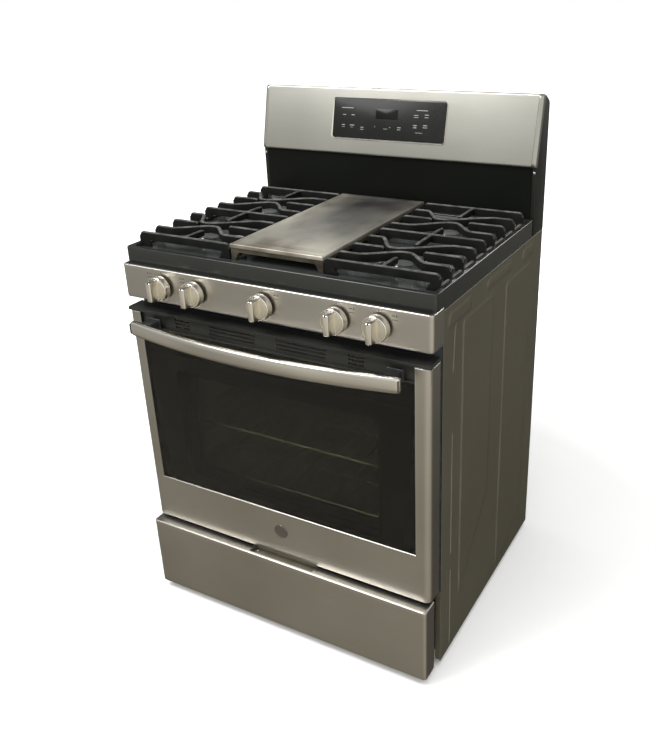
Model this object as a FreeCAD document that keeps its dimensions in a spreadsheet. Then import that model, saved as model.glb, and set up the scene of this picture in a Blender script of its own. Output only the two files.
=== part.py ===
"""Freestanding 30 inch gas range, as a parametric FreeCAD document.

Every sub-part is an object whose sizes are bound to the Sizes spreadsheet.
Lengths are millimetres.  +Z is up, +X is to the right of a person facing the
range, and -Y points at that person.  The origin is on the floor, at the middle
of the whole object's width and depth.  Inside this file the y places are
written from the front edge of the side panels ("the cabinet front"), and
FRONT moves them to the origin.
"""
import FreeCAD, Part
import math
import os
import Sketcher
from FreeCAD import Placement, Rotation, Vector

DRIVING = (
    ("width", 759, "overall width across the side panels"),
    ("cabinet_depth", 597, "side panel, front edge to rear edge"),
    ("cooktop_height", 914, "floor to the cooktop's rim"),
    ("overall_height", 1195, "floor to the top of the backguard"),
    ("side_steel", 1.5, "side panel sheet"),
    ("sheet", 1.2, "all other sheet steel"),
    ("play", 1, "assembly gap between neighbouring covers"),
    ("foot_height", 16, "floor to the side panel's lower edge"),
    ("side_flange", 15, "turned-in edge of a side panel"),
    ("emboss", 1, "depth of the side panel's pressed fields"),
    ("base_height", 26, "base channel, height"),
    ("base_width", 30, "base channel, width"),
    ("foot_radius", 18, "levelling leg's disc"),
    ("stud_radius", 4, "levelling leg's stud"),
    ("leg_inset", 38, "levelling leg's centre from the side panel"),
    ("fit", 0.05, "radial clearance of a running fit"),
    ("door_bottom", 217, "floor to the door's lower edge"),
    ("door_gap", 23, "control panel's lower edge down to the top of the door's cap"),
    ("door_face", 52, "door face in front of the cabinet front"),
    ("door_back", 8, "door's rear face in front of the cabinet front"),
    ("door_side", 3.5, "door edge inside the cabinet's side"),
    ("door_strip", 33, "steel strip beside the glass"),
    ("door_band", 116, "steel band below the glass"),
    ("door_round", 8, "radius of the door's front edges"),
    ("trim_height", 43, "vent trim and cap above the glass"),
    ("cap_height", 8, "door cap above the vent trim"),
    ("glass", 4, "thickness of each pane"),
    ("window_width", 500, "window through the door"),
    ("window_bottom", 350, "floor to the window's lower edge"),
    ("window_drop", 158, "door's cap down to the window's upper edge"),
    ("vent_height", 5, "one slot of the vent trim"),
    ("vent_pitch", 9, "vent slot to vent slot"),
    ("hinge_drop", 32, "door hinge axis in front of the cabinet front"),
    ("hinge_rise", 21, "door hinge axis above the door's lower edge"),
    ("hinge_inset", 49.5, "hinge arm's middle from the cabinet's side"),
    ("hinge_arm", 8, "hinge arm, thickness across"),
    ("hinge_pin", 4, "hinge pin radius"),
    ("handle_drop", 30, "door's cap down to the handle bar's middle"),
    ("handle_reach", 125, "handle bar's middle in front of the cabinet front"),
    ("handle_bow", 35, "how far the bar bows out between its ends"),
    ("handle_length", 662, "handle bar, end to end"),
    ("handle_tall", 34, "handle bar's section, height"),
    ("handle_deep", 18, "handle bar's section, depth"),
    ("badge_radius", 17.5, "plain disc on the door's band"),
    ("badge_rise", 65, "door's lower edge up to the disc's centre"),
    ("drawer_bottom", 21, "floor to the drawer front's lower edge"),
    ("drawer_top", 209, "floor to the drawer front's ledge"),
    ("drawer_ajar", 22, "how far the drawer stands out as drawn"),
    ("drawer_thick", 44, "drawer front, face to rear"),
    ("drawer_depth", 500, "drawer box, front to back"),
    ("drawer_floor", 54, "floor to the drawer box's underside"),
    ("drawer_wall", 130, "drawer box's height"),
    ("runner_room", 48, "drawer box's side from the cabinet's side"),
    ("pull_width", 174, "finger opening in the drawer's ledge"),
    ("pull_deep", 28, "finger opening, front to back"),
    ("cavity_width", 610, "oven, inside width"),
    ("cavity_depth", 490, "oven, inside depth"),
    ("cavity_bottom", 262, "floor to the oven's bottom"),
    ("cavity_drop", 212, "cooktop's rim down to the oven's top"),
    ("frame_depth", 12, "front frame, front to back"),
    ("frame_drop", 106, "cooktop's rim down to the front frame's top"),
    ("wool", 26, "glass wool round the oven"),
    ("rack_wire", 3, "rack frame wire radius"),
    ("rack_rod", 1.9, "rack rod radius"),
    ("rack_depth", 448, "oven rack, front to back"),
    ("rack_step", 66, "rack ledge to rack ledge"),
    ("rack_first", 78, "first rack ledge above the oven's bottom"),
    ("ledge", 8, "rack ledge, out of the oven's wall"),
    ("burner_tube", 11, "oven burner tube radius"),
    ("top_front", 33, "cooktop's apron in front of the cabinet front"),
    ("top_depth", 553, "cooktop, front to back"),
    ("apron", 38, "cooktop's apron, rim to lower edge"),
    ("rim", 12, "cooktop's raised rim, width"),
    ("basin", 9, "rim down to the cooktop's floor"),
    ("burner_x", 244, "burner centre from the middle"),
    ("burner_front", 115, "front burners behind the cabinet front"),
    ("burner_rear", 350, "rear burners behind the cabinet front"),
    ("burner_radius", 38, "burner head radius"),
    ("grate_top", 26, "grate tops above the cooktop's rim"),
    ("grate_width", 250, "side grate, width"),
    ("grate_front", 5, "grate's front edge behind the cabinet front"),
    ("grate_depth", 476, "grate and griddle, front to back"),
    ("bar_wide", 9, "grate bar, width"),
    ("bar_tall", 14, "grate bar, height"),
    ("griddle_half", 115, "griddle, half its width"),
    ("griddle_wall", 9, "griddle plate thickness"),
    ("panel_drop", 35, "cooktop's rim down to the control panel's top"),
    ("panel_tall", 78, "control panel, height"),
    ("panel_face", 50, "control panel in front of the cabinet front"),
    ("panel_round", 10, "radius of the control panel's front corners"),
    ("knob_outer", 267, "outer knobs from the middle"),
    ("knob_inner", 175, "inner knobs from the middle"),
    ("knob_radius", 27.5, "knob's dial radius"),
    ("knob_deep", 17, "knob's dial depth"),
    ("grip_deep", 22, "knob's grip bar in front of the dial"),
    ("grip_wide", 13, "knob's grip bar width"),
    ("knob_gap", 5, "knob to control panel"),
    ("stem_radius", 4, "valve stem radius"),
    ("pipe_radius", 10, "manifold pipe radius"),
    ("pipe_wall", 2, "manifold pipe wall"),
    ("pipe_drop", 84, "cooktop's rim down to the manifold pipe"),
    ("pipe_back", 16, "manifold pipe in front of the cabinet front"),
    ("feed_tube", 3.5, "burner feed tube radius"),
    ("guard_front", 522, "backguard riser behind the cabinet front"),
    ("console_front", 513.5, "console's lower edge behind the cabinet front"),
    ("console_rise", 122, "cooktop's rim up to the console's lower edge"),
    ("console_lean", 37.5, "how far the console leans back over its height"),
    ("guard_step", 21, "backguard's top down to its rear edge"),
    ("end_cap", 11, "backguard end cap thickness"),
    ("display_left", 164, "display from the middle to its left end"),
    ("display_right", 146, "display from the middle to its right end"),
    ("display_rise", 38, "console's lower edge up to the display's lower edge"),
    ("display_tall", 94, "display, height"),
    ("inlet_radius", 10.5, "gas inlet's male thread radius"),
    ("inlet_length", 22, "gas inlet's male thread length"),
    ("screw_shank", 2, "sheet screw shank radius"),
    ("screw_head", 3.8, "sheet screw head radius"),
)

doc = FreeCAD.newDocument("GasRange")
sheet = doc.addObject("Spreadsheet::Sheet", "Sizes")
for row, (alias, number, note) in enumerate(DRIVING, 1):
    sheet.set("A%d" % row, note)
    sheet.set("B%d" % row, str(number))
    sheet.setAlias("B%d" % row, alias)
doc.recompute()


class Size:
    """A length: an expression on the sheet's cells, and the number it has now."""

    def __init__(self, text, number):
        self.text = text
        self.number = float(number)

    def __float__(self):
        return self.number

    def __add__(self, other):
        return Size("(%s + %s)" % (self.text, words(other)), self.number + float(other))

    def __sub__(self, other):
        return Size("(%s - %s)" % (self.text, words(other)), self.number - float(other))

    def __mul__(self, other):
        return Size("(%s * %s)" % (self.text, words(other)), self.number * float(other))

    def __truediv__(self, other):
        return Size("(%s / %s)" % (self.text, words(other)), self.number / float(other))

    def __radd__(self, other):
        return size(other) + self

    def __rsub__(self, other):
        return size(other) - self

    def __rmul__(self, other):
        return size(other) * self

    def __neg__(self):
        return size(0) - self


def words(value):
    """The expression text of a Size or of a plain number."""
    return value.text if isinstance(value, Size) else "%.6g" % value


def size(value):
    """A plain number as a Size."""
    return value if isinstance(value, Size) else Size(words(value), value)


class Sheet:
    """The driving dimensions, read by name: S.width is a Size."""

    def __getattr__(self, name):
        return Size("Sizes." + name, sheet.get(name))


S = Sheet()
NODES = []

# ---------------------------------------------------------------- shared places
REACH = S.handle_reach + S.handle_deep / 2
FRONT = (REACH - S.cabinet_depth) / 2
HALF = S.width / 2
INNER = HALF - S.side_steel
SIDES = (-1, 1)
KNOBS = (-S.knob_outer, -S.knob_inner, size(0), S.knob_inner, S.knob_outer)
SIDE_TOP = S.cooktop_height - S.apron - 4 - S.play
CAVITY_TOP = S.cooktop_height - S.cavity_drop
CAVITY_FRONT = S.frame_depth
CAVITY_REAR = CAVITY_FRONT + S.cavity_depth
PANEL_TOP = S.cooktop_height - S.panel_drop
PANEL_BOTTOM = PANEL_TOP - S.panel_tall
PANEL_MIDDLE = (PANEL_BOTTOM + PANEL_TOP) / 2
PIPE_Z = S.cooktop_height - S.pipe_drop
FRAME_TOP = S.cooktop_height - S.frame_drop
DOOR_TOP = PANEL_BOTTOM - S.door_gap
WINDOW_TOP = DOOR_TOP - S.window_drop
HANDLE_Z = DOOR_TOP - S.handle_drop
BADGE_Z = S.door_bottom + S.badge_rise
CONSOLE_BOTTOM = S.cooktop_height + S.console_rise
GUARD_REAR_TOP = S.overall_height - S.guard_step
DISPLAY_BOTTOM = CONSOLE_BOTTOM + S.display_rise
DISPLAY_TOP = DISPLAY_BOTTOM + S.display_tall
TOP_REAR = S.top_depth - S.top_front
BASIN = S.cooktop_height - S.basin
GRATE_TOP = S.cooktop_height + S.grate_top
BURNERS = (
    (-S.burner_x, S.burner_front),
    (S.burner_x, S.burner_front),
    (-S.burner_x, S.burner_rear),
    (S.burner_x, S.burner_rear),
    (size(0), (S.burner_front + S.burner_rear) / 2),
)
AXIS = {"x": Vector(1, 0, 0), "y": Vector(0, 1, 0), "z": Vector(0, 0, 1)}


def console_face(height):
    """How far behind the cabinet front the leaning console face is at a height."""
    rise = S.overall_height - CONSOLE_BOTTOM
    return S.console_front + S.console_lean * (height - CONSOLE_BOTTOM) / rise


# ---------------------------------------------------------------- building blocks
def bind(thing, prop, value):
    """Drive one property by the sheet."""
    thing.setExpression(prop, words(value))


def place(thing, x, y, z):
    """Put an object at a place written from the cabinet front."""
    bind(thing, "Placement.Base.x", size(x))
    bind(thing, "Placement.Base.y", size(y) + FRONT)
    bind(thing, "Placement.Base.z", size(z))


def span(middle, width):
    """The low and high ends of a length centred on a place."""
    return size(middle) - size(width) / 2, size(middle) + size(width) / 2


def mirrored(side, low, high):
    """An x range on the right, or its mirror image on the left, lowest first."""
    return (size(low), size(high)) if side > 0 else (-size(high), -size(low))


def box(name, x, y, z):
    """A box between low and high ends along each axis."""
    solid = doc.addObject("Part::Box", name)
    for prop, (low, high) in zip(("Length", "Width", "Height"), (x, y, z)):
        bind(solid, prop, size(high) - size(low))
    place(solid, x[0], y[0], z[0])
    return solid


def rod(name, axis, radius, start, length):
    """A cylinder from a start point along one axis."""
    solid = doc.addObject("Part::Cylinder", name)
    solid.Placement = Placement(Vector(), Rotation(AXIS["z"], AXIS[axis]))
    bind(solid, "Radius", size(radius))
    bind(solid, "Height", size(length))
    place(solid, *start)
    return solid


def ball(name, radius, centre):
    """A sphere, used where two rods meet at a corner."""
    solid = doc.addObject("Part::Sphere", name)
    bind(solid, "Radius", size(radius))
    place(solid, *centre)
    return solid


def tube_run(name, radius, points):
    """Rods joined by balls along points that differ in one coordinate at a time."""
    pieces = []
    for number, (start, end) in enumerate(zip(points, points[1:])):
        gaps = [size(b) - size(a) for a, b in zip(start, end)]
        along = max(range(3), key=lambda axis: abs(float(gaps[axis])))
        forward = float(gaps[along]) > 0
        foot = start if forward else end
        length = gaps[along] if forward else -gaps[along]
        pieces.append(rod("%s_run%d" % (name, number), "xyz"[along], radius, foot, length))
        if number:
            pieces.append(ball("%s_bend%d" % (name, number), radius, start))
    return pieces[0] if len(pieces) == 1 else fuse(name + "_line", pieces)


def fuse(name, pieces):
    """One solid from overlapping pieces."""
    joined = doc.addObject("Part::MultiFuse", name)
    joined.Shapes = pieces
    return joined


def group(name, pieces):
    """Separate solids under one name."""
    together = doc.addObject("Part::Compound", name)
    together.Links = pieces
    return together


def cut(name, base, tools):
    """A solid with tools taken out of it."""
    tool = tools[0] if len(tools) == 1 else group(name + "_tools", tools)
    result = doc.addObject("Part::Cut", name)
    result.Base = base
    result.Tool = tool
    return result


def sketch_on(body, plane, name):
    """An empty sketch on one of the body's own base planes."""
    drawing = body.newObject("Sketcher::SketchObject", name)
    base = next(item for item in body.Origin.OriginFeatures if item.Role == plane + "_Plane")
    drawing.AttachmentSupport = (base, [""])
    drawing.MapMode = "FlatFace"
    return drawing


def outline(drawing, points):
    """A closed chain of lines whose corners are dimensioned from the origin."""
    corners = [Vector(float(across), float(up), 0) for across, up in points]
    count = len(corners)
    for side in range(count):
        drawing.addGeometry(Part.LineSegment(corners[side], corners[(side + 1) % count]))
    for side in range(count):
        drawing.addConstraint(Sketcher.Constraint("Coincident", side, 2, (side + 1) % count, 1))
    for side, point in enumerate(points):
        for kind, value in zip(("DistanceX", "DistanceY"), point):
            rule = Sketcher.Constraint(kind, -1, 1, side, 1, float(value))
            number = drawing.addConstraint(rule)
            bind(drawing, "Constraints[%d]" % number, size(value))


def prism(name, plane, points, low, high):
    """A pad of a closed outline, from low to high along the plane's normal."""
    body = doc.addObject("PartDesign::Body", name)
    drawing = sketch_on(body, plane, name + "_outline")
    outline(drawing, points)
    pad = body.newObject("PartDesign::Pad", name + "_pad")
    pad.Profile = drawing
    bind(pad, "Length", size(high) - size(low))
    start = {"YZ": (low, 0, 0), "XZ": (0, high, 0), "XY": (0, 0, low)}[plane]
    place(body, *start)
    return body


def block(name, x, y, z):
    """A box as a body, for features such as fillets."""
    corners = ((x[0], z[0]), (x[1], z[0]), (x[1], z[1]), (x[0], z[1]))
    return prism(name, "XZ", corners, y[0], y[1])


def round_edges(body, name, radius, wanted):
    """Fillet the edges of a body's tip for which wanted(edge) is true."""
    doc.recompute()
    tip = body.Tip
    edges = ["Edge%d" % number for number, edge in enumerate(tip.Shape.Edges, 1) if wanted(edge)]
    fillet = body.newObject("PartDesign::Fillet", name)
    fillet.Base = (tip, edges)
    bind(fillet, "Radius", size(radius))
    return body


def turned(name, points, centre, axis="z"):
    """A revolution of an outline of (radius, along) points about an axis through centre."""
    body = doc.addObject("PartDesign::Body", name)
    drawing = sketch_on(body, "XZ", name + "_outline")
    outline(drawing, points)
    spin = body.newObject("PartDesign::Revolution", name + "_turn")
    spin.Profile = drawing
    spin.ReferenceAxis = (drawing, ["V_Axis"])
    body.Placement = Placement(Vector(), Rotation(AXIS["z"], AXIS[axis]))
    place(body, *centre)
    return body


def runs_along(edge, axis):
    """Whether a straight edge is parallel to an axis."""
    if edge.Curve.TypeId != "Part::GeomLine":
        return False
    return abs(abs(edge.Curve.Direction.dot(AXIS[axis])) - 1) < 1e-6


def low_in(edge, axis, part, limit=0.5):
    """Whether an edge's middle is in the low half of a shape along an axis."""
    box_ = part.BoundBox
    middle = edge.CenterOfMass
    ends = {"x": (box_.XMin, box_.XMax, middle.x), "y": (box_.YMin, box_.YMax, middle.y),
            "z": (box_.ZMin, box_.ZMax, middle.z)}[axis]
    return (ends[2] - ends[0]) < limit * (ends[1] - ends[0])


def node(name, thing):
    """Name a finished sub-part and keep it for the export."""
    thing.Label = name
    NODES.append(thing)
    return thing


# ---------------------------------------------------------------- cabinet
def side_panel(side, name):
    """A side panel: sheet, turned-in edges, and two pressed fields with ribs."""
    tall = (S.foot_height, SIDE_TOP)
    deep = (size(0), S.cabinet_depth)
    turned_in = mirrored(side, HALF - S.side_flange, HALF)
    skin = box(name + "_skin", mirrored(side, INNER, HALF), deep, tall)
    rear = box(name + "_rear_edge", turned_in, (S.cabinet_depth - S.side_steel, S.cabinet_depth), tall)
    foot = box(name + "_foot_edge", turned_in, deep, (S.foot_height, S.foot_height + S.side_steel))
    head = box(name + "_head_edge", turned_in, deep, (SIDE_TOP - S.side_steel, SIDE_TOP))
    field_front = (S.cabinet_depth * 0.16, S.cabinet_depth * 0.445)
    field_rear = (S.cabinet_depth * 0.575, S.cabinet_depth * 0.875)
    low = S.foot_height + 60
    high = SIDE_TOP - 55
    pressed, raised = [], []
    for number, (near, far) in enumerate((field_front, field_rear)):
        corners = ((near, low + 40), (far, low), (far, high), (near, high))
        wide = mirrored(side, HALF - S.emboss, HALF)
        back = mirrored(side, INNER - S.emboss, INNER)
        pressed.append(prism("%s_field%d" % (name, number), "YZ", corners, *wide))
        grown = ((near - 2, low + 37), (far + 2, low - 2.6), (far + 2, high + 2), (near - 2, high + 2))
        raised.append(prism("%s_boss%d" % (name, number), "YZ", grown, *back))
    whole = fuse(name + "_whole", [skin, rear, foot, head] + raised)
    return node(name, cut(name, whole, pressed))


def screw_places():
    """Where the rear panel is screwed to the side panels' turned-in edges: (x, z)."""
    spots = []
    for side in SIDES:
        for share in (0.12, 0.5, 0.88):
            height = S.foot_height + 60 + (SIDE_TOP - S.foot_height - 80) * share
            spots.append(((HALF - S.side_flange * 1.9) * side, height))
    return spots


def rear_panel():
    """Rear cover with louvres, the gas opening, the cord hole and screw holes."""
    face = (S.cabinet_depth - S.side_steel - 0.5 - S.sheet, S.cabinet_depth - S.side_steel - 0.5)
    low = S.foot_height + 50
    cover = box("rear_cover", (-INNER + S.play, INNER - S.play), face, (low, SIDE_TOP - 3))
    through = (face[0] - 5, face[1] + 5)
    gas = box("rear_gas_opening", GAS_OPENING_X, through, GAS_OPENING_Z)
    tools = [gas, rod("rear_cord_hole", "y", 14, (-HALF + 90, through[0], low + 60), 20)]
    for row in range(3):
        for column in range(-3, 4):
            height = SIDE_TOP - 60 - 14 * row
            tools.append(box("louvre", span(column * 92.0, 70), through, (height, height + 5)))
    for x, z in screw_places():
        tools.append(rod("rear_screw_hole", "y", S.screw_shank + 0.2, (x, through[0], z), 20))
    node("rear_panel", cut("rear_panel", cover, tools))


def screws():
    """Sheet screws of the rear panel, a group of identical solids."""
    head_seat = S.cabinet_depth - S.side_steel - 0.5
    pieces = []
    for number, (x, z) in enumerate(screw_places()):
        head = rod("screw_head", "y", S.screw_head, (x, head_seat, z), 1.8)
        shank = rod("screw_shank", "y", S.screw_shank, (x, head_seat - 10, z), 11)
        pieces.append(fuse("screw_%d" % number, [head, shank]))
    node("screws", group("screws", pieces))


def leg_places():
    """Levelling leg centres: (x, y)."""
    inset = S.leg_inset
    return [((HALF - inset) * side, y) for side in SIDES for y in (inset, S.cabinet_depth - inset)]


BASE_LOW = S.foot_height + S.side_steel + S.play
BASE_HIGH = BASE_LOW + S.base_height


def base_frame():
    """A ring of open channel with a threaded boss over each levelling leg."""
    wide = (-INNER + S.play, INNER - S.play)
    deep = (S.play * 2, S.cabinet_depth - S.side_steel - S.play * 4)
    inner_x = (wide[0] + S.base_width, wide[1] - S.base_width)
    inner_y = (deep[0] + S.base_width, deep[1] - S.base_width)
    ring = cut("base_ring", box("base_outer", wide, deep, (BASE_LOW, BASE_HIGH)),
               [box("base_inner", inner_x, inner_y, (BASE_LOW - 5, BASE_HIGH + 5))])
    wall = S.side_steel
    hollow_out = box("channel_outer", (wide[0] + wall, wide[1] - wall), (deep[0] + wall, deep[1] - wall),
                     (BASE_LOW - 5, BASE_HIGH - wall))
    hollow_in = box("channel_inner", (inner_x[0] - wall, inner_x[1] + wall),
                    (inner_y[0] - wall, inner_y[1] + wall), (BASE_LOW - 6, BASE_HIGH))
    channel = cut("base_channel", ring, [cut("channel_space", hollow_out, [hollow_in])])
    bosses = [rod("leg_boss", "z", S.stud_radius + 5, (x, y, BASE_LOW + 4), S.base_height - 4)
              for x, y in leg_places()]
    bores = [rod("leg_bore", "z", S.stud_radius + S.fit, (x, y, BASE_LOW - 2), S.base_height + 4)
             for x, y in leg_places()]
    node("base_frame", cut("base_frame", fuse("base_with_bosses", [channel] + bosses), bores))


def levelling_legs():
    """Four feet on threaded studs, a group of identical solids."""
    disc = S.foot_height - 7
    profile = ((size(0), size(0)), (S.foot_radius, size(0)), (S.foot_radius, disc * 0.5),
               (S.foot_radius * 0.55, disc), (S.stud_radius, disc), (S.stud_radius, BASE_HIGH - 1),
               (size(0), BASE_HIGH - 1))
    legs = [turned("leg_%d" % number, profile, (x, y, 0)) for number, (x, y) in enumerate(leg_places())]
    node("levelling_legs", group("levelling_legs", legs))


def hinge_middles():
    """The x places of the two door hinges."""
    return [(HALF - S.hinge_inset) * side for side in SIDES]


def front_frame():
    """Folded steel frame round the oven opening and over the drawer opening."""
    bottom = S.drawer_top + 3
    wide = (-INNER + S.play, INNER - S.play)
    outer = box("frame_outer", wide, (size(0), S.frame_depth), (bottom, FRAME_TOP))
    opening = box("frame_opening", span(0, S.cavity_width), (size(-5), S.frame_depth + 5),
                  (S.cavity_bottom, CAVITY_TOP))
    wall = S.sheet
    hollow = box("frame_hollow", (wide[0] + wall, wide[1] - wall), (wall, S.frame_depth + 5),
                 (bottom + wall, FRAME_TOP - wall))
    lip = box("frame_lip", span(0, S.cavity_width + wall * 2), (size(0), S.frame_depth + 5),
              (S.cavity_bottom - wall, CAVITY_TOP + wall))
    slots = [box("arm_slot", span(x, S.hinge_arm + 2), (size(-5), S.frame_depth + 5),
                 (HINGE_Z - 8, HINGE_Z + 8)) for x in hinge_middles()]
    node("front_frame", cut("front_frame", outer, [cut("frame_space", hollow, [lip]), opening] + slots))


def hollow_box(name, x, y, z, wall, open_sides):
    """A box of sheet: open_sides names the sides left out, such as "front" or "top"."""
    outer = box(name + "_outer", x, y, z)
    reach = {side: (wall * -4 if side in open_sides else wall)
             for side in ("left", "right", "front", "rear", "bottom", "top")}
    inner = box(name + "_inside", (x[0] + reach["left"], x[1] - reach["right"]),
                (y[0] + reach["front"], y[1] - reach["rear"]),
                (z[0] + reach["bottom"], z[1] - reach["top"]))
    return outer, inner


# ---------------------------------------------------------------- oven
SENSOR = (S.cavity_width * 0.33, CAVITY_TOP - 62)
LAMP = (-S.cavity_width * 0.33, CAVITY_TOP - 62)
BAKE_Z = S.cavity_bottom + 17
BROIL_Z = CAVITY_TOP - 19
OVEN_FLOOR = S.cavity_bottom + 34


def ledge_heights():
    """The five rack positions: top of each ledge."""
    return [S.cavity_bottom + S.rack_first + S.rack_step * step for step in range(5)]


def oven_cavity():
    """Enamelled oven box, open at the front, with rack ledges and rear holes."""
    wall = S.sheet
    x = span(0, S.cavity_width + wall * 2)
    y = (CAVITY_FRONT, CAVITY_REAR + wall)
    outer, inner = hollow_box("cavity", x, y, (S.cavity_bottom - wall, CAVITY_TOP + wall), wall, ("front",))
    ledges = []
    for top in ledge_heights():
        for side in SIDES:
            half = S.cavity_width / 2
            ledges.append(box("rack_ledge", mirrored(side, half - S.ledge, half + wall / 2),
                              (CAVITY_FRONT + 14, CAVITY_REAR - 10), (top - 6, top)))
    holes = [
        rod("bake_hole", "y", S.burner_tube + 0.5, (0, CAVITY_REAR - 5, BAKE_Z), 20),
        rod("broil_hole", "y", S.burner_tube + 0.5, (0, CAVITY_REAR - 5, BROIL_Z), 20),
        rod("lamp_hole", "y", 16.5, (LAMP[0], CAVITY_REAR - 5, LAMP[1]), 20),
        rod("sensor_hole", "y", 3.5, (SENSOR[0], CAVITY_REAR - 5, SENSOR[1]), 20),
    ]
    shell = cut("cavity_shell", outer, [inner])
    node("oven_cavity", cut("oven_cavity", fuse("cavity_with_ledges", [shell] + ledges), holes))


def insulation():
    """Glass wool blanket round the oven's top, bottom, sides and rear."""
    gap = S.sheet + 1
    near = (CAVITY_FRONT + 2, CAVITY_REAR + gap)
    hollow = box("wool_inside", span(0, S.cavity_width + gap * 2), (near[0] - 5, near[1]),
                 (S.cavity_bottom - gap, CAVITY_TOP + gap))
    whole = box("wool_outside", span(0, S.cavity_width + (gap + S.wool) * 2), (near[0], near[1] + S.wool),
                (S.cavity_bottom - gap - S.wool * 0.9, CAVITY_TOP + gap + S.wool))
    holes = [rod("wool_hole", "y", radius + 2, (x, CAVITY_REAR - 5, z), S.wool + 20) for radius, x, z in (
        (S.burner_tube, 0, BAKE_Z), (S.burner_tube, 0, BROIL_Z), (size(17), LAMP[0], LAMP[1]),
        (size(3), SENSOR[0], SENSOR[1]))]
    arms = [box("wool_arm_gap", span(x, S.hinge_arm + 8), (near[0] - 5, CAVITY_FRONT + 34),
                (HINGE_Z - 14, HINGE_Z + 14)) for x in hinge_middles()]
    node("insulation", cut("insulation", whole, [hollow] + holes + arms))


def oven_floor():
    """Lift-out floor over the bake burner, with heat slots along both sides."""
    half = S.cavity_width / 2 - 4
    y = (CAVITY_FRONT + 6, CAVITY_REAR - 4)
    plate = box("floor_plate", (-half, half), y, (OVEN_FLOOR - S.sheet, OVEN_FLOOR))
    feet = [box("floor_foot", mirrored(side, half - S.sheet, half), y,
                (S.cavity_bottom + 0.3, OVEN_FLOOR)) for side in SIDES]
    slots = [box("heat_slot", mirrored(side, half - 40, half - 12), span(CAVITY_FRONT + 60 + 40 * number, 9),
                 (OVEN_FLOOR - 8, OVEN_FLOOR + 5)) for side in SIDES for number in range(10)]
    node("oven_floor", cut("oven_floor", fuse("floor_folded", [plate] + feet), slots))


def oven_burners():
    """The bake burner under the floor and the broil burner under the roof."""
    start = CAVITY_FRONT + 60
    end = CAVITY_REAR + S.wool
    tube = rod("bake_tube", "y", S.burner_tube, (0, start, BAKE_Z), end - start)
    bore = rod("bake_bore", "y", S.burner_tube - 1.5, (0, start + 2, BAKE_Z), end - start)
    node("bake_burner", cut("bake_burner", tube, [bore]))
    tray = (CAVITY_FRONT + 50, CAVITY_REAR - 70)
    outer, inner = hollow_box("broil", span(0, 120), tray, (BROIL_Z - 13, BROIL_Z + 13), S.sheet, ())
    neck = rod("broil_neck", "y", S.burner_tube, (0, tray[1] - 1, BROIL_Z), end - tray[1])
    throat = rod("broil_throat", "y", S.burner_tube - 1.5, (0, tray[1] - 5, BROIL_Z), end)
    slots = [box("flame_slot", mirrored(side, 30, 52), span(tray[0] + 24 + 22 * number, 3),
                 (BROIL_Z - 20, BROIL_Z - 5)) for side in SIDES for number in range(15)]
    whole = fuse("broil_whole", [outer, neck])
    node("broil_burner", cut("broil_burner", whole, [inner, throat] + slots))


def lamp_and_sensor():
    """The oven lamp in its rear socket, and the temperature probe."""
    glass = ((0, -14), (10, -12), (17, -6), (19, 0), (19, 3), (16, 3), (16, 40), (0, 40))
    lamp = turned("oven_lamp", [(size(r), size(z)) for r, z in glass],
                  (LAMP[0], CAVITY_REAR - 3.5, LAMP[1]), "y")
    node("oven_lamp", lamp)
    probe = rod("probe_rod", "y", 2.8, (SENSOR[0], CAVITY_REAR - 60, SENSOR[1]), 85)
    plate = box("probe_plate", span(SENSOR[0], 30), (CAVITY_REAR - 1.7, CAVITY_REAR - 0.3), span(SENSOR[1], 16))
    node("temperature_sensor", fuse("temperature_sensor", [probe, plate]))


def oven_rack(name, level):
    """A wire rack on the ledges: frame, cross wires and rods, with a raised rear stop."""
    wire = S.rack_wire
    seat = ledge_heights()[level] + 0.3 + wire
    half = S.cavity_width / 2 - 2.5 - wire
    near = CAVITY_FRONT + 10 + wire
    far = CAVITY_FRONT + 10 + S.rack_depth - wire
    loop = [(-half, near, seat), (half, near, seat), (half, far, seat), (-half, far, seat), (-half, near, seat)]
    wires = [tube_run(name + "_frame", wire, loop), ball(name + "_corner", wire, loop[0])]
    for share in (0.25, 0.5, 0.75):
        y = near + (far - near) * share
        wires.append(rod("cross_wire", "x", S.rack_rod, (-half, y, seat), half * 2))
    count = 20
    lift = S.rack_rod * 1.5
    for number in range(1, count):
        x = half * (2.0 * number / count - 1)
        wires.append(rod("rack_rod", "y", S.rack_rod, (x, near, seat + lift), far - near))
    node(name, fuse(name, wires))


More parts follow.
